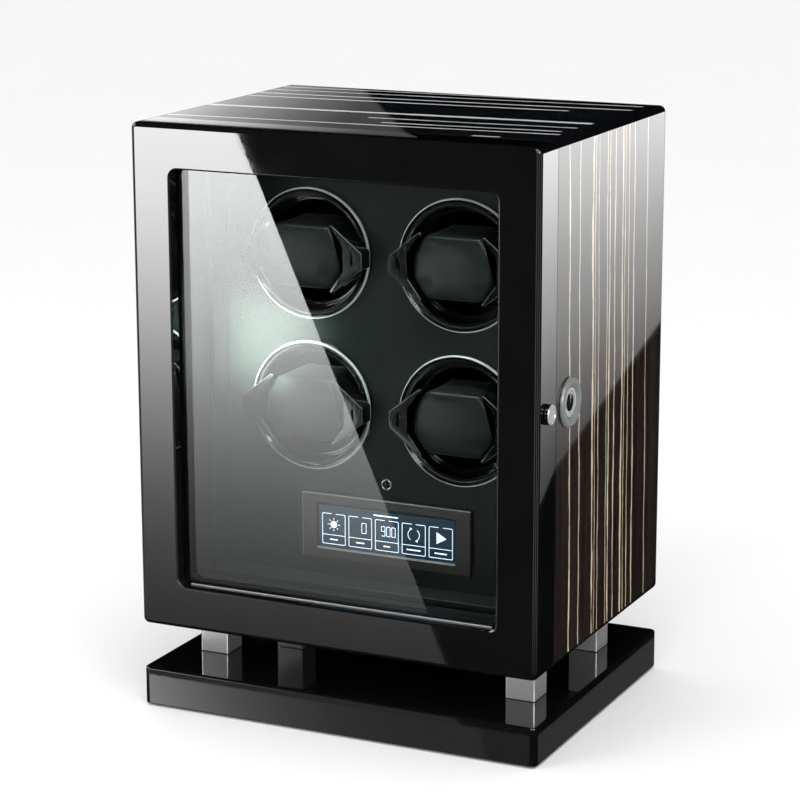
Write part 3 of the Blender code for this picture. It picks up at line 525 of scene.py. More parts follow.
@finish
def plastic(t, tint, roughness, grain, depth, coat=0.0):
    """Moulded plastic with a fine surface texture and slight flow marks."""
    fine = t.noise(grain, 3.0, 0.6)
    flow = t.noise(26.0, 3.0, 0.5, (1, 1, 0.3))
    return t.principled(
        Base_Color=t.between(flow, toned(tint, 0.82), toned(tint)),
        Roughness=t.span(fine, 0.3, 0.7, roughness * 0.8, roughness * 1.25),
        IOR=1.5, Coat_Weight=coat, Coat_Roughness=0.02,
        Normal=t.bump(fine, depth),
    )


@finish
def fibre(t, tint):
    """Pressed felt: short crossed fibres over a mottled ground."""
    ways = [t.noise(2400.0, 3.0, 0.7, stretch) for stretch in ((1, 0.12, 1), (0.12, 1, 1))]
    hair = t.math("MAXIMUM", *ways)
    ground = t.between(t.noise(180.0, 4.0, 0.6), toned(tint), toned(tint, 1.9))
    return t.principled(
        Base_Color=t.between(hair, ground, toned(tint, 3.0), 0.55, 0.8),
        Roughness=t.span(hair, 0.3, 0.8, 0.85, 1.0),
        Sheen_Weight=0.35, Sheen_Roughness=0.6,
        Normal=t.bump(hair, 0.0004),
    )


@finish
def clear_pane(t, tint, ior, smudge, shine):
    """Thin clear glass or acrylic: what is behind shows through, and its surface mirrors by angle."""
    rough = t.span(t.noise(30.0, 4.0, 0.6, (1, 1, 0.4)), 0.35, 0.75, 0.0, smudge)
    through = t.add("ShaderNodeBsdfTransparent", {"Color": toned(tint)}).outputs[0]
    mirror = t.add("ShaderNodeBsdfGlossy", {"Color": grey(1.0), "Roughness": rough}).outputs[0]
    share = t.times(t.add("ShaderNodeFresnel", {"IOR": ior}).outputs[0], shine)
    return t.add("ShaderNodeMixShader", {0: share, 1: through, 2: mirror}).outputs[0]


@finish
def circuit(t):
    """Green solder mask with copper tracks and pads showing through it."""
    flat = t.add("ShaderNodeMapping", {"Vector": t.place(), "Rotation": (math.pi / 2, 0, 0)}).outputs[0]
    tracks = t.add("ShaderNodeTexBrick", {
        "Vector": flat, "Scale": 60.0, "Mortar Size": 0.022, "Color1": (0.012, 0.11, 0.045, 1),
        "Color2": (0.016, 0.14, 0.055, 1), "Mortar": (0.05, 0.28, 0.1, 1),
    }).outputs["Color"]
    speckle = t.noise(700.0, 2.0, 0.5)
    return t.principled(
        Base_Color=t.between(speckle, tracks, (0.55, 0.5, 0.3, 1), 0.66, 0.72),
        Roughness=t.span(speckle, 0.3, 0.7, 0.28, 0.45),
        Normal=t.bump(speckle, 0.00003),
    )


@finish
def lcd(t, pitch):
    """A dark liquid-crystal panel with its pixel grid and a faint backlight."""
    parts = t.parts(t.place())
    off_middle = []
    for part in (parts[0], parts[2]):
        off_middle.append(t.math("ABSOLUTE", t.minus(t.math("FRACT", t.math("DIVIDE", part, pitch)), 0.5)))
    grid = t.span(t.math("MAXIMUM", *off_middle), 0.4, 0.47)
    uneven = t.noise(22.0, 2.0, 0.5)
    colour = t.between(uneven, (0.012, 0.022, 0.032, 1), (0.02, 0.034, 0.046, 1))
    return t.principled(
        Base_Color=t.blend(t.times(grid, 0.6), colour, (0.006, 0.01, 0.015, 1)),
        Roughness=t.span(uneven, 0.3, 0.7, 0.12, 0.18),
        Emission_Color=t.blend(grid, (0.016, 0.034, 0.05, 1), (0.006, 0.014, 0.022, 1)),
        Emission_Strength=0.8,
    )


@finish
def glowing(t, middle, edge, strength):
    """An evenly lit surface with a slight unevenness."""
    colour = t.between(t.noise(600.0, 2.0, 0.5), toned(middle), toned(edge))
    return t.principled(Base_Color=colour, Roughness=0.4, Emission_Color=colour, Emission_Strength=strength)


def make_finishes():
    black = (0.0035, 0.0035, 0.0038)
    side_body, side_pale = (0.0105, 0.0082, 0.0068), (0.86, 0.73, 0.56)
    top_body, top_pale = (0.0026, 0.0034, 0.0046), (0.95, 0.95, 0.93)
    hide, hide_light = (0.014, 0.019, 0.017), (0.019, 0.026, 0.023)
    pad, pad_light = (0.016, 0.02, 0.0185), (0.023, 0.028, 0.026)
    return {
        "lacquer": gloss_lacquer("piano_lacquer", black, 0.015),
        "side": ebony("ebony_side", "Y", "Z", SIDE_LINES, side_body, side_pale,
                      0.8, 4.6 * MM, 0.0, 0.5, 4 * MM, -0.02, 0.5, 1.5),
        "top": ebony("ebony_top", "Y", "X", TOP_LINES, top_body, top_pale,
                     0.0, 3 * MM, CAD_LOW.x + 4 * MM, 0.125, 2 * MM, 0.06, 0.0, 1.36),
        "polished": metal("polished_aluminium", (0.9, 0.9, 0.91), 0.2, (1, 1, 0.03), 1.0, 0.62),
        "satin": metal("satin_aluminium", (0.8, 0.81, 0.82), 0.26, None, 1.0, 0.5),
        "dish": metal("dished_aluminium", (0.42, 0.445, 0.435), 0.3, None, 1.0, 0.5),
        "rim": metal("bright_rim", (0.93, 0.94, 0.95), 0.14, None, 1.0, 0.58),
        # a dark copy of chrome for the knob's side: painted shade, where the side mirrors dark surroundings
        "dark_chrome": metal("dark_chrome", (0.09, 0.09, 0.095), 0.1, None, 1.0, 0.9),
        # bright metal used as a painted highlight: on the display frame's top, left and sill edges, and under
        # the door's glass
        "bezel_edge": metal("bezel_edge", (0.62, 0.6, 0.6), 0.22, (0.05, 1, 0.05), 1.0, 0.4),
        # light grey plastic for the caps' eased front edges: a painted highlight on the gloss black
        "cap_edge": plastic("cap_edge", (0.13, 0.14, 0.137), 0.16, 700.0, 0.000002, 0.8),
        "charcoal": plastic("satin_charcoal", (0.03, 0.03, 0.033), 0.42, 1400.0, 0.000006),
        "steel": metal("zinc_steel", (0.62, 0.62, 0.63), 0.3, (1, 0.2, 1), 0.4, 0.8),
        "chrome": metal("chrome_rim", (0.9, 0.9, 0.91), 0.08, None, 1.0, 0.85),
        "felt": fibre("base_felt", (0.012, 0.012, 0.013)),
        "leather": leather("grained_leatherette", hide, hide_light, 1100.0, 0.00005, 0.45, 0.6),
        "pillow": leather("pillow_leatherette", pad, pad_light, 1300.0, 0.00002, 0.24, 0.34),
        "gloss": plastic("gloss_black_plastic", (0.006, 0.006, 0.0065), 0.1, 500.0, 0.0000008, 0.8),
        "bezel": plastic("bezel_plastic", (0.05, 0.043, 0.042), 0.3, 1800.0, 0.000012),
        "bezel_black": plastic("glazing_bead", (0.01, 0.01, 0.011), 0.38, 1600.0, 0.000012),
        "screen": lcd("lcd_panel", 0.42 * MM),
        "icon": glowing("icon_light", (0.75, 0.85, 1.0), (0.62, 0.74, 1.0), 1.6),
        "clear": clear_pane("clear_acrylic", (0.93, 0.96, 0.95), 1.49, 0.03, 1.0),
        # opaque near-white for the trim rings' front rims: a painted highlight on clear acrylic
        "painted_rim_highlight": plastic("machined_acrylic_edge", (0.85, 0.88, 0.87), 0.2, 900.0, 0.00001, 0.5),
        "glass": clear_pane("door_glass", (0.96, 0.985, 0.975), 1.5, 0.006, 0.86),
        "board": circuit("circuit_board"),
        "nylon": plastic("white_nylon", (0.72, 0.71, 0.66), 0.45, 1200.0, 0.00002),
        "bronze": metal("sintered_bronze", (0.5, 0.32, 0.16), 0.42),
        "panel": fibre("flocked_back_board", (0.009, 0.009, 0.0095)),
        "lamp": glowing("lamp_diffuser", (0.92, 1.0, 0.97), (0.86, 0.97, 0.94), 2.2),
        "rubber": plastic("reader_window", (0.01, 0.011, 0.012), 0.12, 700.0, 0.000003, 0.8),
    }


# ---------------------------------------------------------------- camera, floor and light


def make_camera():
    """Three quarters from the front, a little above the cabinet."""
    yaw, pitch, roll = CAMERA_YAW, CAMERA_PITCH, CAMERA_ROLL
    ahead = Vector((-math.sin(yaw) * math.cos(pitch), math.cos(yaw) * math.cos(pitch), -math.sin(pitch)))
    right = ahead.cross(Vector((0, 0, 1))).normalized()
    up = right.cross(ahead)
    rolled_right = math.cos(roll) * right + math.sin(roll) * up
    rolled_up = -math.sin(roll) * right + math.cos(roll) * up
    data = bpy.data.cameras.new("camera")
    data.sensor_width = 36.0
    data.lens = CAMERA_LENS
    data.clip_start = 0.05
    camera = link("camera", data)
    turn = Matrix((rolled_right, rolled_up, -ahead)).transposed().to_4x4()
    camera.matrix_world = Matrix.Translation(CAMERA_PLACE) @ turn
    bpy.context.scene.camera = camera


def make_floor():
    """A wide pale floor, which glossy faces don't mirror."""
    bm = bmesh.new()
    bmesh.ops.create_grid(bm, x_segments=8, y_segments=8, size=20.0)
    floor = raw_object("floor", bm)
    material, t = new_tree("floor_paper")
    colour = t.blend(t.noise(3.0, 2.0, 0.5), grey(0.93), grey(0.95))
    t.output(t.principled(Base_Color=colour, Roughness=0.9, Specular_IOR_Level=0.1))
    floor.data.materials.append(material)
    floor.visible_glossy = False


def make_world():
    world = bpy.data.worlds.new("studio")
    world.use_nodes = True
    t = Tree(world.node_tree)
    backdrop = t.add("ShaderNodeBackground", {"Color": grey(1.0), "Strength": 1.0})
    t.add("ShaderNodeOutputWorld", {"Surface": backdrop.outputs[0]})
    world.cycles_visibility.glossy = False
    bpy.context.scene.world = world


def area_light(name, place, target, size, watts, tint=(1, 1, 1), spread=180, glossy=False):
    data = bpy.data.lights.new(name, "AREA")
    data.shape = "RECTANGLE"
    data.size, data.size_y = size
    data.energy = watts
    data.color = tint
    data.spread = math.radians(spread)
    light = link(name, data)
    light.location = place
    light.rotation_mode = "QUATERNION"
    light.rotation_quaternion = (Vector(target) - Vector(place)).to_track_quat("-Z", "Y")
    light.visible_camera = False
    light.visible_glossy = glossy


# How bright the mirrored sheets of light are: (place on the face in mm, light that comes off the face)
FRONT_SHEET = (
    (29, 0.014), (73, 0.031), (106, 0.052), (139, 0.085), (171, 0.144), (204, 0.234), (236, 0.351),
    (269, 0.494), (301, 0.634), (334, 0.764), (366, 0.834), (430, 0.93),
)
PLINTH_SHEET = (
    (-200, 0.28), (-130, 0.17), (-110, 0.125), (-95, 0.1), (-70, 0.065), (-40, 0.042), (0, 0.024),
    (25, 0.02), (60, 0.018), (99, 0.018), (102, 0.01), (160, 0.01),
)
SIDE_SHEET = (
    (140, 0.02), (190, 0.06), (215, 0.105), (239, 0.16), (263, 0.235), (288, 0.31), (312, 0.41),
    (336, 0.53), (361, 0.66), (430, 0.95),
)
SIDE_LOW_SHEET = ((-40, 0.02), (27, 0.02))
TOP_SHEET = (
    (-242, 0.95), (-150, 0.7), (-137, 0.58), (-112, 0.36), (-72, 0.165), (-32, 0.062), (8, 0.055),
    (60, 0.05),
)
DOOR_TOP_SHEET = (
    (-230, 1.0), (-125, 0.92), (-100, 0.78), (-60, 0.5), (-20, 0.22), (20, 0.09), (40, 0.075), (90, 0.06),
)
MIRROR_FRONT = 0.0825  # share of the light that lacquer mirrors at the angle each face is seen at
MIRROR_SIDE = 0.235
MIRROR_TOP = 0.5
MIRROR_DOOR_TOP = 0.76
CARD_DISTANCE = 14.0
CARD_STEPS = 16
CARD_EDGE = 0.18  # share of a soft card that its edge fades over


def glossy_card(name, bm, light_of):
    """A card of light for mirrors and polished edges to see. light_of gives its colour and strength."""
    card = raw_object(name, bm)
    material, t = new_tree(name + "_light")
    parts = t.parts(t.add("ShaderNodeUVMap").outputs[0])
    colour, strength = light_of(t, parts)
    t.output(t.add("ShaderNodeEmission", {"Color": colour, "Strength": strength}).outputs[0])
    material.cycles.emission_sampling = "NONE"
    card.data.materials.append(material)
    card.visible_camera = False
    card.visible_diffuse = False
    card.visible_transmission = False
    card.visible_shadow = False


def reflector(name, axis, corners, way, stops, mirror):
    """A far card that a flat face mirrors as the given patch of it.

    corners are four points on the face, in mm, and the stops run on the way's x, y and z shares.
    """
    way = Vector(way)
    eye = CAMERA_PLACE.copy()
    eye[axis] = 2 * corners[0][axis] * MM - eye[axis]
    points = [Vector(corner) * MM for corner in corners]
    first, last = stops[0][0], stops[-1][0]
    bm = bmesh.new()
    uv = bm.loops.layers.uv.new("across")
    grid = []
    for row in range(CARD_STEPS + 1):
        left = points[0].lerp(points[3], row / CARD_STEPS)
        right = points[1].lerp(points[2], row / CARD_STEPS)
        line = []
        for column in range(CARD_STEPS + 1):
            spot = left.lerp(right, column / CARD_STEPS)
            vert = bm.verts.new(eye + (spot - eye).normalized() * CARD_DISTANCE)
            line.append((vert, (spot.dot(way) / MM - first) / (last - first)))
        grid.append(line)
    for low, high in zip(grid, grid[1:]):
        for index in range(CARD_STEPS):
            patch = (low[index], low[index + 1], high[index + 1], high[index])
            face = bm.faces.new([vert for vert, _ in patch])
            for loop, (_, u) in zip(face.loops, patch):
                loop[uv].uv = (u, 0.5)

    def light_of(t, parts):
        ramp = t.add("ShaderNodeValToRGB", {"Fac": parts[0]})
        elements = ramp.color_ramp.elements
        while len(elements) < len(stops):
            elements.new(0.5)
        for element, (place, value) in zip(elements, stops):
            element.position = (place - first) / (last - first)
            element.color = grey(value)
        return ramp.outputs[0], 1.0 / mirror

    glossy_card(name, bm, light_of)


def soft_card(name, heading, rise, wide, tall, strength):
    """A soft-edged card, towards a heading and a rise, as wide and tall as given. All are in degrees."""
    heading, rise = math.radians(heading), math.radians(rise)
    out = Vector((math.sin(heading) * math.cos(rise), -math.cos(heading) * math.cos(rise), math.sin(rise)))
    right = out.cross(Vector((0, 0, 1))).normalized() * math.tan(math.radians(wide) / 2) * CARD_DISTANCE
    up = right.normalized().cross(out) * math.tan(math.radians(tall) / 2) * CARD_DISTANCE
    centre = Vector((0, 0, 0.2)) + out * CARD_DISTANCE
    bm = bmesh.new()
    uv = bm.loops.layers.uv.new("across")
    ends = ((-1, -1), (1, -1), (1, 1), (-1, 1))
    face = bm.faces.new([bm.verts.new(centre + right * x + up * z) for x, z in ends])
    for loop, (x, z) in zip(face.loops, ends):
        loop[uv].uv = ((x + 1) / 2, (z + 1) / 2)

    def light_of(t, parts):
        shares = []
        for part in parts[:2]:
            inside = t.minus(0.5, t.math("ABSOLUTE", t.minus(part, 0.5)))
            shares.append(t.span(inside, 0.0, CARD_EDGE, smooth=True))
        return grey(1.0), t.times(t.times(*shares), strength)

    glossy_card(name, bm, light_of)


def make_light():
    """Soft studio light, and cards that lay hard-edged sheets of light on the lacquered faces."""
    front, right, top = CAD_LOW.y / MM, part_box("carcass")[1].x / MM, CAD_HIGH.z / MM
    door_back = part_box("carcass")[0].y / MM - 4
    left, seam, high = -260, 29, 430
    lean = 0.4379  # how far the front's edge of light moves across for each mm down
    lid_lean = 0.6445  # and the lid's for each mm back
    lid_left, lid_front, lid_back = -230, -125, 259

    def edge(z):
        return -59.6 + (368.3 - z) * lean

    def lid_edge(depth):
        return 49.6 - (depth + 97.0) * lid_lean

    corners = [(left, front, seam), (edge(seam), front, seam), (edge(high), front, high), (left, front, high)]
    reflector("card_front", 1, corners, (0, 0, 1), FRONT_SHEET, MIRROR_FRONT)
    corners = [(-200, front, -40), (160, front, -40), (160, front, seam), (-200, front, seam)]
    reflector("card_plinth", 1, corners, (1, 0, 0), PLINTH_SHEET, MIRROR_FRONT)
    corners = [(right, -140, 161.3), (right, 240, 278), (right, 240, high), (right, -140, high)]
    reflector("card_side", 0, corners, (0, 0, 1), SIDE_SHEET, MIRROR_SIDE)
    corners = [(right, -140, -40), (right, 160, -40), (right, 160, 27), (right, -140, 27)]
    reflector("card_side_low", 0, corners, (0, 0, 1), SIDE_LOW_SHEET, MIRROR_SIDE)
    for name, near, far, way, stops, mirror in (
        ("card_top", door_back, lid_back, (1, 0.3, 0), TOP_SHEET, MIRROR_TOP),
        ("card_door_top", lid_front, door_back, (1, 0, 0), DOOR_TOP_SHEET, MIRROR_DOOR_TOP),
    ):
        corners = [(lid_left, near, top), (lid_edge(near), near, top), (lid_edge(far), far, top),
                   (lid_left, far, top)]
        reflector(name, 2, corners, way, stops, mirror)

    # Soft boxes above the horizon of the camera's side light the rounded edges and the rotors
    soft_card("box_high", 14, 60, 44, 26, 4.0)
    soft_card("box_left", -66, 26, 18, 40, 12.0)
    soft_card("box_right", 58, 26, 16, 44, 12.0)
    soft_card("box_front", 12, 20, 26, 14, 7.0)
    # and faint ones below it give every other flat face a sheen when it is seen straight on
    for heading in (0, 45, 90, 180, 225, 270, 315):
        soft_card(f"fill_{heading}", heading, -11, 22, 20, 0.6)

    area_light("soft_left", (-0.75, -1.1, 0.42), (-0.05, 0, 0.2), (0.5, 0.5), 6.0)
    area_light("soft_above", (0.5, -0.9, 1.5), (0, 0, 0.2), (0.9, 0.5), 8.0)

    # The lamp behind the door's top rail, and a glow that stands for its bounce off the liner's left wall
    low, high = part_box("light_diffuser")
    place = Vector((0, (low.y + high.y) / 2, low.z - 1.5 * MM))
    target = place + Vector((0, 0.004, -0.1))
    size = (high.x - low.x, 7 * MM)
    area_light("cabinet_lamp", place, target, size, 0.05, (0.86, 1.0, 0.95), 70, glossy=True)
    place, target, size = (-0.086, -0.052, 0.228), (-0.083, -0.026, 0.228), (0.045, 0.05)
    area_light("cabinet_glow", place, target, size, 0.16, (0.86, 1.0, 0.93), 120)


# ---------------------------------------------------------------- cabinet pieces


def hinge_cutters():
    """Mortises for the hinge leaves, and the clearance round their barrels."""
    leaf_half = 2.05 * MM
    barrel_radius = 2.2 * MM
    cutters = []
    for level in ("lower", "upper"):
        leaf_low, leaf_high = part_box(f"hinge_{level}_cabinet_leaf")
        seam = (leaf_high.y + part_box(f"hinge_{level}_door_leaf")[0].y) / 2
        low = (CAD_LOW.x - OVERCUT, seam - leaf_half, leaf_low.z - CLEAR)
        high = (leaf_high.x + CLEAR, seam + leaf_half, leaf_high.z + CLEAR)
        cutters.append(solid_box(low, high))
        reach = (leaf_high.z - leaf_low.z) / 2 + CLEAR
        centre = (leaf_low.x + barrel_radius, seam, (leaf_low.z + leaf_high.z) / 2)
        cutters.append(drill(barrel_radius + 0.5 * MM, "Z", centre, -reach, reach, 32))
    return cutters


def make_door(f):
    """The lacquered frame, and a bright metal strip under its glass that is a painted highlight along the
    window's lower edge.
    """
    low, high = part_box("door_frame")
    slab = solid_box(low, high)
    round_along(slab, 1, EDGE_RADIUS)
    round_at(slab, 1, low.y, DOOR_FRONT_RADIUS)
    door = raw_object("door_frame_lacquered", slab)

    glass_low, glass_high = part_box("door_glass")
    half = glass_high.x - GLASS_LAP
    sill, head = glass_low.z + GLASS_LAP, glass_high.z - GLASS_LAP

    def window(level, grow):
        return level, rectangle(half + grow, sill - grow, head + grow, WINDOW_RADIUS + grow)

    layers = [window(low.y - 3 * MM, WINDOW_EASE)]
    for angle in quarter(5):
        level = low.y + WINDOW_EASE * (1 - math.cos(angle))
        layers.append(window(level, WINDOW_EASE * (1 - math.sin(angle))))
    layers.append(window(high.y + 3 * MM, 0))
    rebate_low = (glass_low.x - CLEAR, glass_low.y - GAP, glass_low.z - CLEAR)
    rebate_high = (glass_high.x + CLEAR, high.y + 3 * MM, glass_high.z + CLEAR)
    keeper_low, keeper_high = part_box("keeper_plate")
    keeper_middle = middle_of("keeper_plate")
    bolt_room = Vector((3.6, 9, 4.6)) * MM
    cut(
        door,
        lofted(layers),
        solid_box(rebate_low, rebate_high),
        solid_box(keeper_low - POCKET_CLEAR, keeper_high + POCKET_CLEAR),
        solid_box(keeper_middle - bolt_room, keeper_middle + bolt_room),
        *hinge_cutters(),
    )
    shade(door)
    piece(door, "door", f["lacquer"], ["door_frame"])

    # a thin bright strip that stands as a painted highlight along the window's lower edge
    strip_half = half - WINDOW_RADIUS
    strip_low = (-strip_half, glass_low.y - 1.2 * MM, sill + 0.02 * MM)
    strip = solid_box(strip_low, (strip_half, glass_low.y - 0.15 * MM, sill + 0.75 * MM))
    round_along(strip, 0, 0.2 * MM, 3)
    made("window_sill_highlight_strip", strip, "door", f["bezel_edge"])


def make_knob(f):
    """The door's knob: a bright dished end on a barrel in a dark copy of the metal, which is painted shade
    for a side that mirrors dark surroundings.
    """
    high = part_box("door_knob")[1]
    middle = middle_of("door_knob")
    radius = high.z - middle.z
    stem = 2 * MM
    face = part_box("door_frame")[1].x + GAP
    sunk = high.x - 0.5 * MM
    corners = [
        (0, face - 6 * MM), (stem, face - 6 * MM), (stem, face), (radius, face, 0.3 * MM),
        (radius, high.x, 1.1 * MM), (radius * 0.72, high.x, 0.25 * MM), (radius * 0.66, sunk, 0.2 * MM),
        (0, sunk),
    ]
    knob = made("door_knob_polished", lathe(corners, "X", (0, middle.y, middle.z), SMALL_TURN_SIDES), "door",
                [f["dark_chrome"], f["rim"]], ["door_knob"])
    # lit and shaded copies of one metal: the side keeps the dark copy as painted shade, the end faces get the
    # bright metal
    paint(knob, lambda centre, normal: normal.x > 0.35 and centre.x > face)


def make_carcass(f):
    """The veneered shell, with its finish chosen face by face."""
    low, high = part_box("carcass")
    shell = solid_box(low, high)
    round_along(shell, 1, EDGE_RADIUS)
    round_at(shell, 1, high.y, EDGE_RADIUS)
    carcass = raw_object("carcass_veneered", shell)
    panel_low, panel_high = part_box("back_panel")
    room_low = (low.x + WALL, low.y - OVERCUT, low.z + WALL)
    room_high = (high.x - WALL, high.y + OVERCUT, high.z - WALL)
    rebate_low = panel_low - Vector((CLEAR, CLEAR, CLEAR))
    rebate_high = (panel_high.x + CLEAR, high.y + OVERCUT, panel_high.z + CLEAR)
    lock_low, lock_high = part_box("lock_body")
    lock_x = (lock_low.x + lock_high.x) / 2
    sensor = middle_of("lock_sensor")
    pocket_low = lock_low - POCKET_CLEAR
    pocket_low.y = low.y - OVERCUT
    cut(
        carcass,
        solid_box(room_low, room_high),
        solid_box(rebate_low, rebate_high),
        solid_box(pocket_low, lock_high + POCKET_CLEAR),
        drill(7.5 * MM, "X", (0, sensor.y, sensor.z), lock_x, high.x + OVERCUT, 48),
        *hinge_cutters(),
    )
    shade(carcass)
    finishes = [f["lacquer"], f["side"], f["top"], f["charcoal"], f["leather"]]
    piece(carcass, "cabinet", finishes, ["carcass"])
    lacquer, side, top, inside, inside_floor = range(5)
    skin = 12 * MM

    def finish_at(centre, normal):
        if abs(normal.x) > 0.99 and abs(abs(centre.x) - high.x) < 1e-5:
            return side
        if normal.z > 0.99 and abs(centre.z - high.z) < 1e-5:
            return top
        if abs(centre.x) < high.x - skin and low.z + skin < centre.z < high.z - skin:
            return inside_floor if normal.z > 0.9 else inside
        return lacquer

    paint(carcass, finish_at)


def make_base(f):
    """Plinth and posts."""
    low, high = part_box("plinth")
    slab = solid_box(low, high)
    round_along(slab, 2, EDGE_RADIUS)
    round_at(slab, 2, high.z, 1.4 * MM, 4)
    round_at(slab, 2, low.z, 0.6 * MM, 2)
    made("plinth_lacquered", slab, "cabinet", f["lacquer"], ["plinth"])
    bottom, top = high.z + GAP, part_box("carcass")[0].z - GAP
    for name in ("post_front_left", "post_front_right", "post_back_left", "post_back_right"):
        low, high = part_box(name)
        side = (high.x - low.x) / 2
        x, y, _ = middle_of(name)
        block = solid_box((x - side, y - side, bottom), (x + side, y + side, top))
        round_along(block, 2, 0.9 * MM, 4)
        for level in (bottom, top):
            round_at(block, 2, level, 0.35 * MM, 2)
        made(name + "_polished", block, "cabinet", f["polished"], [name])


def make_back(f):
    """The back panel's cross-headed screws, and the power inlet."""
    low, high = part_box("back_panel")
    face = high.y
    inset, stem, radius, rise = 8 * MM, 1.2 * MM, 3.2 * MM, 0.9 * MM
    slot_long, slot_wide, slot_deep = 1.9 * MM, 0.35 * MM, 0.6 * MM
    corners = [
        (0, face - 2 * MM), (stem, face - 2 * MM), (stem, face), (radius, face),
        (radius, face + rise * 0.3, 0.2 * MM), (radius * 0.6, face + rise, 0.6 * MM), (0, face + rise),
    ]
    xs = (low.x + inset, 0.0, high.x - inset)
    zs = (low.z + inset, (low.z + high.z) / 2, high.z - inset)
    for column, x in enumerate(xs):
        for row, z in enumerate(zs):
            if column == 1 and row == 1:
                continue
            screw = raw_object(f"back_screw_{column}_{row}", lathe(corners, "Y", (x, 0, z), SCREW_SIDES, 4))
            slots = []
            for along, across in ((slot_long, slot_wide), (slot_wide, slot_long)):
                slot_low = (x - along, face + rise - slot_deep, z - across)
                slots.append(solid_box(slot_low, (x + along, face + rise + 1 * MM, z + across)))
            cut(screw, *slots)
            shade(screw)
            piece(screw, "cabinet", f["steel"])

    low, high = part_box("dc_inlet")
    centre = middle_of("dc_inlet") * Vector((1, 0, 1))
    outer = (high.x - low.x) / 2
    mouth, panel = high.y, face + GAP
    barrel, bore, pin = 5.2 * MM, 3 * MM, 1 * MM
    corners = [
        (0, low.y), (barrel, low.y), (barrel, panel), (outer, panel), (outer, mouth, 0.5 * MM),
        (bore, mouth, 0.4 * MM), (bore, mouth - 11 * MM), (0, mouth - 11 * MM),
    ]
    made("dc_inlet_socket", lathe(corners, "Y", centre, SMALL_TURN_SIDES, 4), "cabinet",
         f["gloss"], ["dc_inlet"])
    root, tip = mouth - 10.9 * MM, mouth - 2 * MM
    corners = [(0, root), (pin, root), (pin, tip, 0.4 * MM), (0, tip)]
    made("dc_inlet_pin", lathe(corners, "Y", centre, 32, 4), "cabinet", f["chrome"])


def make_lining(f):
    """Liner and fascia in leatherette, with the openings for rotors, receiver and display."""
    low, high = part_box("liner")
    liner = raw_object("liner_leatherette", solid_box(low, high))
    inner_low = (low.x + LINER_WALL, low.y - OVERCUT, low.z + LINER_WALL)
    inner_high = (high.x - LINER_WALL, high.y + OVERCUT, high.z - LINER_WALL)
    cut(liner, solid_box(inner_low, inner_high))
    bm = bmesh.new()
    bm.from_mesh(liner.data)
    round_at(bm, 1, low.y, 1.3 * MM, 5, only_sharp=True)
    bm.to_mesh(liner.data)
    bm.free()
    shade(liner)
    piece(liner, "cabinet", f["leather"], ["liner"])

    low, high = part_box("fascia")
    fascia = raw_object("fascia_leatherette", solid_box(low, high))
    spigot, receiver_hole = 40.5 * MM, 3.1 * MM
    ends = (low.y - MM, high.y + MM)
    holes = [drill(spigot, "Y", middle_of(f"rotor_cup_{tag}") * Vector((1, 0, 1)), *ends) for tag in TAGS]
    holes.append(drill(receiver_hole, "Y", middle_of("remote_receiver") * Vector((1, 0, 1)), *ends, 32))
    panel_low, panel_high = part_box("display_panel")
    clear = Vector((2.4, 5, 1.9)) * MM
    holes.append(solid_box(panel_low - clear, panel_high + clear))
    cut(fascia, *holes)
    shade(fascia)
    piece(fascia, "cabinet", f["leather"], ["fascia"])


def make_receiver(f):
    """The remote control's receiver: a bright rim round a dark dome."""
    low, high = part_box("remote_receiver")
    radius = (high.x - low.x) / 2
    centre = middle_of("remote_receiver") * Vector((1, 0, 1))
    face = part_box("fascia")[0].y - GAP
    inner, dome, dome_rise = 2.6 * MM, 2.5 * MM, 0.7 * MM
    corners = [(inner, face), (radius, face), (radius, low.y, 0.7 * MM), (inner, low.y, 0.4 * MM)]
    made("receiver_rim", lathe(corners, "Y", centre, SMALL_TURN_SIDES), "cabinet",
         f["chrome"], ["remote_receiver"])
    base = low.y + 0.9 * MM
    profile = [(0, high.y), (dome, high.y)]
    for angle in quarter(6)[:-1]:
        profile.append((dome * math.cos(angle), base - dome_rise * math.sin(angle)))
    profile.append((0, base - dome_rise))
    made("receiver_dome", turned(profile, "Y", centre, 48), "cabinet", f["gloss"])


def stroke_object(name, paths, radius):
    """Thin round strokes along lists of points, as one mesh of closed tubes."""
    curve = bpy.data.curves.new(name, "CURVE")
    curve.dimensions = "3D"
    curve.bevel_depth = radius
    curve.bevel_resolution = 2
    curve.use_fill_caps = True
    for points in paths:
        spline = curve.splines.new("POLY")
        spline.points.add(len(points) - 1)
        for target, point in zip(spline.points, points):
            target.co = (*point, 1)
    holder = link(name + "_curve", curve)
    mesh = settled_mesh(holder)
    mesh.name = name
    bpy.data.objects.remove(holder, do_unlink=True)
    mesh.shade_smooth()
    return link(name, mesh)


# Strokes of the digits, on a grid of one unit across and two up
SEGMENTS = {
    "top": ((0, 2), (1, 2)), "upper_right": ((1, 2), (1, 1)), "lower_right": ((1, 1), (1, 0)),
    "bottom": ((1, 0), (0, 0)), "lower_left": ((0, 0), (0, 1)), "upper_left": ((0, 1), (0, 2)),
    "middle": ((0, 1), (1, 1)),
}
DIGITS = {
    "0": ("top", "upper_right", "lower_right", "bottom", "lower_left", "upper_left"),
    "9": ("top", "upper_right", "lower_right", "bottom", "upper_left", "middle"),
}


def digit_strokes(symbol, x, z, width, height):
    """The strokes of a digit, as pairs of (x, z) ends that stop just short of each other."""
    trim = 0.12 * MM
    strokes = []
    for segment in DIGITS[symbol]:
        (x0, z0), (x1, z1) = [(x + u * width, z + v * height / 2) for u, v in SEGMENTS[segment]]
        length = math.hypot(x1 - x0, z1 - z0)
        dx, dz = (x1 - x0) / length * trim, (z1 - z0) / length * trim
        strokes.append([(x0 + dx, z0 + dz), (x1 - dx, z1 - dz)])
    return strokes


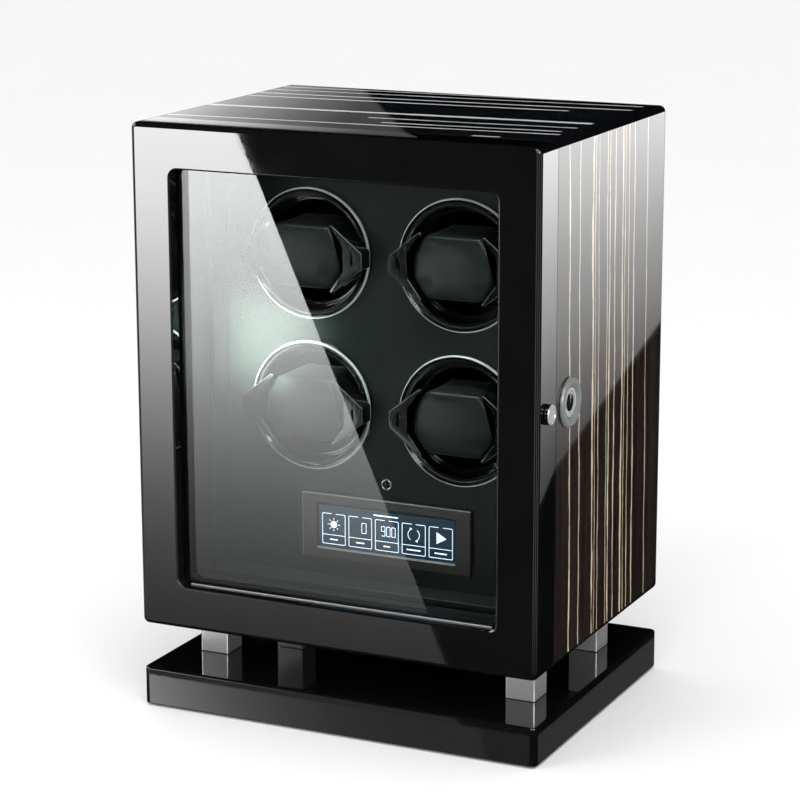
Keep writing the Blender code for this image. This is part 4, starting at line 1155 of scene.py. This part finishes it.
def make_bezel(f):
    """The display's frame, with a painted highlight of bright metal on its rounded edges at its top, its left
    and its sill.
    """
    low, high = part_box("display_bezel")
    panel_low, panel_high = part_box("display_panel")
    block = solid_box(low, high)
    round_along(block, 1, 0.8 * MM, 3)
    round_at(block, 1, low.y, 0.6 * MM, 3)
    bezel = raw_object("display_bezel_satin", block)
    sill, head = panel_low.z - CLEAR, panel_high.z + CLEAR
    half = panel_high.x + CLEAR

    def mouth(level, flare, radius):
        return level, rectangle(half + flare, sill - flare, head + flare, radius, 4)

    wide, tight = (1.2 * MM, 1.0 * MM), (0, 0.6 * MM)
    layers = [mouth(low.y - 2 * MM, *wide), mouth(low.y - 0.001 * MM, *wide)]
    layers += [mouth(low.y + 0.9 * MM, *tight), mouth(high.y + 2 * MM, *tight)]
    cut(bezel, lofted(layers))
    shade(bezel)
    piece(bezel, "cabinet", [f["bezel"], f["bezel_edge"]], ["display_bezel"])

    # only the roundings at the top, the left and the sill get the bright metal: a painted highlight where
    # light falls
    def bright(centre, normal):
        rounding = -0.97 < normal.y < -0.2
        outer_edge = centre.x < low.x + 1 * MM or centre.z > high.z - 1 * MM
        sill_edge = normal.z > 0.3 and centre.z < panel_low.z
        return rounding and (outer_edge or sill_edge)

    paint(bezel, bright)


def make_display(f):
    """The five lit fields of the liquid-crystal panel, each a frame, a label's bar and a sign."""
    low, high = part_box("display_panel")
    wide, tall = high.x - low.x, high.z - low.z
    face = low.y - 0.02 * MM
    pitch = wide / 5 * 0.99
    half_field = pitch * 0.43
    gap = pitch * 0.86 * 0.09
    bottom, top = low.z + 0.07 * tall, low.z + 0.80 * tall
    label_line = low.z + 0.29 * tall
    middle = (label_line + top) / 2
    corner = 0.7 * MM
    corner_steps = 4
    fields = [low.x + wide * 0.012 + pitch * (index + 0.5) for index in range(5)]
    label_shares = (0.16, 0.18, 0.14, 0.3, 0.26)

    thin, heavy = [], []
    for x, share in zip(fields, label_shares):
        left, right = x - half_field, x + half_field
        ends = ((left, bottom), (right, bottom), (right, top), (left, top))
        outline = rounded([(*end, corner) for end in ends], corner_steps)
        # the frame opens in the middle of its top side: it starts left of the gap and ends right of it
        split = 3 * (corner_steps + 1)
        thin.append([(x - gap, top)] + outline[split:] + outline[:split] + [(x + gap, top)])
        thin.append([(left, label_line), (right, label_line)])
        bar, level = 2 * half_field * share, (bottom + label_line) / 2
        heavy.append([(x - bar, level), (x + bar, level)])
    mark, mark_level = 0.09 * wide, low.z + 0.9 * tall
    heavy.append([(-mark, mark_level), (mark, mark_level)])

    sun, counter, number, turn, play = fields
    for ray in range(8):
        angle = 2 * math.pi * ray / 8
        reaches = (3.0 * MM, 4.3 * MM)
        thin.append([(sun + math.cos(angle) * reach, middle + math.sin(angle) * reach) for reach in reaches])
    digit_tall = 6.6 * MM
    digit_low = middle - digit_tall / 2
    thin += digit_strokes("0", counter + 1.1 * MM, digit_low, 3.1 * MM, digit_tall)
    for index, symbol in enumerate("900"):
        x = number - 3.8 * MM + index * 3.6 * MM
        thin += digit_strokes(symbol, x, digit_low, 2.5 * MM, digit_tall * 0.94)
    bow = 4.0 * MM
    for start in (-55, 125):
        angles = [math.radians(start + 110 * step / 12) for step in range(13)]
        thin.append([(turn + bow * math.cos(angle), middle + bow * math.sin(angle)) for angle in angles])

    icons = []
    for name, strokes, radius in (("display_lines", thin, 0.2 * MM), ("display_bars", heavy, 0.42 * MM)):
        paths = [[(x, face, z) for x, z in stroke] for stroke in strokes]
        icons.append(stroke_object(name, paths, radius))
    disc = drill(2.2 * MM, "Y", (sun, face - 0.15 * MM, middle), 0, 0.25 * MM, 32)
    icons.append(raw_object("display_sun", disc))
    tip, back = 3.8 * MM, play - 2.8 * MM
    signs = {"display_play": [(back, middle - tip), (play + tip, middle), (back, middle + tip)]}
    for name, side in (("display_arrow_right", 1), ("display_arrow_left", -1)):
        x, z = turn + side * bow * 0.5, middle - side * bow * 0.95
        barbs = ((-1.0, 0), (0.7, 0.9 * MM), (0.5, -0.9 * MM))
        signs[name] = [(x + side * across * MM, z + rise) for across, rise in barbs]
    for name, outline in signs.items():
        icons.append(raw_object(name, prism(outline, face - 0.15 * MM, face + 0.1 * MM)))
    for icon in icons:
        piece(icon, "cabinet", f["icon"])
        icon.visible_glossy = False


def make_ring(f, tag, face):
    """A clear trim ring whose rounded rims catch the light, with a painted highlight in opaque near-white on
    its outer front rim and its inner edge.
    """
    low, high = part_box(f"trim_ring_{tag}")
    centre = middle_of(f"trim_ring_{tag}") * Vector((1, 0, 1))
    outer, inner, spigot = (high.x - low.x) / 2, 38.5 * MM, 40 * MM
    seat = face - GAP
    corners = [
        (inner, low.y + 1.2 * MM, 0.5 * MM), (inner + 0.9 * MM, low.y, 0.5 * MM),
        (outer - 0.7 * MM, low.y, 0.5 * MM), (outer, low.y + 1.4 * MM, 0.6 * MM),
        (outer, seat), (spigot, seat), (spigot, high.y), (inner, high.y),
    ]
    ring = made(f"trim_ring_{tag}_clear", lathe(corners, "Y", centre), "cabinet",
                [f["clear"], f["painted_rim_highlight"]], [f"trim_ring_{tag}"])

    # the outer front rim and the inner edge get the near-white finish, a painted highlight
    def painted_rim_highlight(middle, normal):
        radius = math.hypot(middle.x - centre.x, middle.z - centre.z)
        outward = radius > outer - 1.2 * MM and middle.y < low.y + 1.5 * MM
        return normal.y < -0.2 and (outward or radius < inner + 0.35 * MM)

    paint(ring, painted_rim_highlight)


def make_cup(f, tag, face):
    """The stepped cup that turns inside a ring, with its shaft."""
    low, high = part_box(f"rotor_cup_{tag}")
    centre = middle_of(f"rotor_cup_{tag}") * Vector((1, 0, 1))
    outer = (high.x - low.x) / 2
    wall = outer - 2 * MM
    shoulder, floor, back = face + 6 * MM, face + 40 * MM, face + 43 * MM
    step, under = shoulder - 0.8 * MM, shoulder + 2.5 * MM
    shaft, drum = 3 * MM, 34.5 * MM
    soft, fine, lip = 0.8 * MM, 0.4 * MM, 0.9 * MM
    corners = [
        (0, floor), (26 * MM, floor, 2 * MM), (28.5 * MM, floor - 2.5 * MM, 2 * MM),
        (30.2 * MM, floor - 12 * MM, fine), (31.4 * MM, floor - 12 * MM, fine),
        (32.5 * MM, shoulder + 5 * MM), (32.5 * MM, shoulder, soft), (34.0 * MM, shoulder, 0.3 * MM),
        (34.4 * MM, step, 0.3 * MM), (wall, step, 0.6 * MM), (wall, low.y, lip), (outer, low.y, lip),
        (outer, under, soft), (drum, under, soft), (drum, back, soft), (shaft, back), (shaft, high.y),
        (0, high.y),
    ]
    made(f"rotor_cup_{tag}_polished", lathe(corners, "Y", centre), f"rotor_{tag}",
         f["gloss"], [f"rotor_cup_{tag}"])


def cap_outline(side, reach, inner, top):
    """An end cap from the front: a chevron that hugs the pillow and tapers to a blunt tip."""
    notch_half, tip_half = 8.3 * MM, 5 * MM
    corner = 19.6 * MM
    shoulder = corner + 2.5 * MM
    upper = [(inner, notch_half, 2.0 * MM), (corner, top, 0.7 * MM), (shoulder, top, 0.9 * MM),
             (reach, tip_half, 1.6 * MM)]
    lower = [(x, -z, radius) for x, z, radius in reversed(upper)]
    ring = [lower[-1]] + upper + lower[:-1]
    return rounded([(side * x, z, radius) for x, z, radius in ring], 4)


def inset_outline(outline, amount):
    """The outline moved in by an amount along its own normals."""
    count = len(outline)
    points = [Vector(point) for point in outline]
    area = sum(points[i - 1].x * points[i].y - points[i].x * points[i - 1].y for i in range(count))
    turn = 1 if area > 0 else -1
    moved = []
    for index in range(count):
        along = (points[(index + 1) % count] - points[index - 1]).normalized()
        moved.append(tuple(points[index] + Vector((-along.y, along.x)) * turn * amount))
    return moved


def make_holder(f, tag, face):
    """Glossy end caps, each with a finger recess in its front, on a square core; their eased front edges
    carry a painted highlight in light grey.
    """
    low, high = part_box(f"holder_{tag}")
    centre = middle_of(f"holder_{tag}") * Vector((1, 0, 1))
    reach, top = (high.x - low.x) / 2, (high.z - low.z) / 2
    cup_reach = 35 * MM  # how far the caps reach where they sit in the cup
    neck = face - 5.2 * MM
    pillow_low, pillow_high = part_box(f"pillow_{tag}")
    inner = (pillow_high.x - pillow_low.x) / 2 + 0.5 * MM
    ease = 0.6 * MM
    caps, recesses = [], []
    for side in (-1, 1):
        front = cap_outline(side, reach, inner, top)
        seat = cap_outline(side, cup_reach, inner, top)
        layers = []
        for angle in quarter(4):
            level = low.y + ease * (1 - math.cos(angle))
            layers.append((level, inset_outline(front, ease * (1 - math.sin(angle)))))
        layers += [(neck - GAP, front), (neck + GAP, seat), (high.y, seat)]
        caps.append(lofted(layers))
        recess = rectangle(1.1 * MM, -4.2 * MM, 4.2 * MM, 1.0 * MM, 4, side * (inner + reach) / 2)
        recesses.append(prism(recess, low.y - 1 * MM, low.y + 1.6 * MM))
    core_half, core_end, core_back = 7 * MM, inner + 1.5 * MM, high.y - 1 * MM
    core = solid_box((-core_end, core_back - 2 * core_half, -core_half), (core_end, core_back, core_half))
    holder = raw_object(f"holder_{tag}_polished", core)
    cut(holder, *caps, operation="UNION")
    cut(holder, *recesses)
    holder.data.transform(Matrix.Translation(centre))
    shade(holder)
    piece(holder, f"holder_{tag}", [f["gloss"], f["cap_edge"]], [f"holder_{tag}"])
    # the eased front edges get the light grey finish, a painted highlight
    paint(holder, lambda middle, normal: -0.97 < normal.y < -0.12 and middle.y < low.y + ease)


# ---------------------------------------------------------------- pillows

PILLOW_SHRINK = 1.5 * MM  # how much smaller a pillow starts than it will swell to
PILLOW_SWELL = 5 * MM  # how far a point of it may move
PILLOW_PROUD = 0.4 * MM  # how far it may swell past its box
CLOTH_FRAMES = 20


def pillow_start(low, high):
    """A closed barrel-shaped cushion, somewhat smaller than its box, with its middle at 0 in x and z."""
    wide, tall = (high.x - low.x) / 2 - PILLOW_SHRINK, (high.z - low.z) / 2 - PILLOW_SHRINK
    front, back = low.y + PILLOW_SHRINK, high.y - PILLOW_SHRINK
    side, top = 8 * MM, 18.5 * MM
    quarter_corners = [(wide, side, 6 * MM), (top, tall, 4 * MM)]
    upper = quarter_corners + [(-x, z, radius) for x, z, radius in reversed(quarter_corners)]
    lower = [(x, -z, radius) for x, z, radius in reversed(upper)]
    ring = [lower[-1]] + upper + lower[:-1]
    body = prism(rounded(ring, 6), front, back)
    round_at(body, 1, front, 8 * MM, 6)
    round_at(body, 1, back, 7 * MM, 5)
    return body


def places(obj):
    """The object's points, as rows of an array."""
    flat = np.zeros(len(obj.data.vertices) * 3)
    obj.data.vertices.foreach_get("co", flat)
    return flat.reshape(-1, 3)


def swell(obj):
    """Blows the cushion up as cloth, and gives its points' places before and how far they move."""
    remesh = obj.modifiers.new("remesh", "REMESH")
    remesh.mode = "VOXEL"
    remesh.voxel_size = 1.6 * MM
    settle(obj)
    start = places(obj)
    cloth = obj.modifiers.new("cloth", "CLOTH")
    cloth.settings.use_pressure = True
    cloth.settings.uniform_pressure_force = 4.0
    cloth.settings.effector_weights.gravity = 0.0
    cloth.settings.quality = 5
    cloth.point_cache.frame_start = 1
    cloth.point_cache.frame_end = CLOTH_FRAMES
    for number in range(1, CLOTH_FRAMES + 1):
        bpy.context.scene.frame_set(number)
    settle(obj)
    bpy.context.scene.frame_set(1)
    move = places(obj) - start
    length = np.linalg.norm(move, axis=1, keepdims=True)
    return start, move * np.minimum(1.0, PILLOW_SWELL / np.maximum(length, 1e-9))


def make_pillows(f):
    """One cushion is simulated, and each holder gets its own copy of it."""
    low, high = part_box(f"pillow_{TAGS[0]}")
    cushion = raw_object("pillow_source", pillow_start(low, high))
    cushion.data.transform(Matrix.Translation((0, -middle_of(f"pillow_{TAGS[0]}").y, 0)))
    start, move = swell(cushion)
    limit = np.array([(high[axis] - low[axis]) / 2 for axis in range(3)]) + PILLOW_PROUD
    final = np.clip(start + move, -limit, limit)
    cushion.data.vertices.foreach_set("co", final.astype(np.float32).ravel())
    smooth = cushion.modifiers.new("smooth", "CORRECTIVE_SMOOTH")
    smooth.iterations = 4
    smooth.use_only_smooth = True
    divide = cushion.modifiers.new("divide", "SUBSURF")
    divide.levels = 1
    divide.render_levels = 1
    settle(cushion)
    for tag in TAGS:
        pillow = link(f"pillow_{tag}_stuffed", cushion.data.copy())
        pillow.data.transform(Matrix.Translation(middle_of(f"pillow_{tag}")))
        pillow.data.shade_smooth()
        piece(pillow, f"holder_{tag}", f["pillow"], [f"pillow_{tag}"])
    bpy.data.objects.remove(cushion, do_unlink=True)


def make_lock(f):
    """The reader on the right side: a dished satin ring round a dark window."""
    low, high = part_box("lock_bezel")
    centre = middle_of("lock_bezel") * Vector((0, 1, 1))
    outer, dish = (high.z - low.z) / 2, 9.3 * MM
    corners = [
        (dish, low.x), (outer, low.x), (outer, low.x + 1.0 * MM, 0.3 * MM),
        (outer - 1.0 * MM, high.x, 0.5 * MM), (dish + 2.4 * MM, high.x, 0.3 * MM), (dish, low.x + 0.7 * MM),
    ]
    made("lock_bezel_satin", lathe(corners, "X", centre, TURN_SIDES, 4), "cabinet",
         f["dish"], ["lock_bezel"])

    low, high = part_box("lock_sensor")
    stem, rim, lens = 7 * MM, dish - GAP, 5.4 * MM
    side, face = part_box("carcass")[1].x + GAP, high.x
    sunk = face - 0.5 * MM
    corners = [
        (0, low.x), (stem, low.x), (stem, side), (rim, side), (rim, face, 0.3 * MM),
        (7.4 * MM, face, 0.2 * MM), (5.8 * MM, sunk, 0.3 * MM), (0, sunk),
    ]
    made("lock_sensor_rim", lathe(corners, "X", centre, 96, 4), "cabinet", f["rim"],
         ["lock_sensor"])
    profile = [(0, face - 0.6 * MM), (lens, face - 0.6 * MM), (lens, face - 0.35 * MM)]
    profile += [(lens * 0.5, face - 0.15 * MM), (0, face - 0.1 * MM)]
    made("lock_sensor_window", turned(profile, "X", centre, 64), "cabinet", f["rubber"])


def carry_over(f):
    """CAD nodes whose shape stays, with a finish of their own."""
    finishes = {
        "base_felt": "felt", "back_panel": "panel", "display_panel": "screen", "display_board": "board",
        "light_channel": "satin", "light_diffuser": "lamp", "mount_plate": "steel", "motor_upper": "steel",
        "motor_lower": "steel", "control_board": "board", "lock_body": "steel", "latch_bolt": "chrome",
        "keeper_plate": "steel", "door_glass": "glass", "glass_beads": "bezel_black",
        "pinion_upper": "nylon", "pinion_lower": "nylon",
    }
    for level in ("lower", "upper"):
        for kind in ("cabinet", "door"):
            finishes[f"hinge_{level}_{kind}_leaf"] = "steel"
    for tag in TAGS:
        finishes[f"bearing_{tag}"] = "bronze"
        finishes[f"drive_gear_{tag}"] = "nylon"
    for node, name in finishes.items():
        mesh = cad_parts[node].data
        mesh.materials.clear()
        mesh.materials.append(f[name])


def main():
    make_camera()
    make_floor()
    make_world()
    make_light()
    f = make_finishes()
    for make in (make_base, make_carcass, make_back, make_door, make_knob, make_lining, make_receiver,
                 make_bezel, make_display):
        make(f)
    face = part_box("fascia")[0].y
    for makers in ((make_ring, make_cup), (make_holder,)):
        for tag in TAGS:
            for make in makers:
                make(f, tag, face)
    make_pillows(f)
    make_lock(f)
    carry_over(f)
    bpy.context.scene.view_settings.view_transform = "Standard"


main()
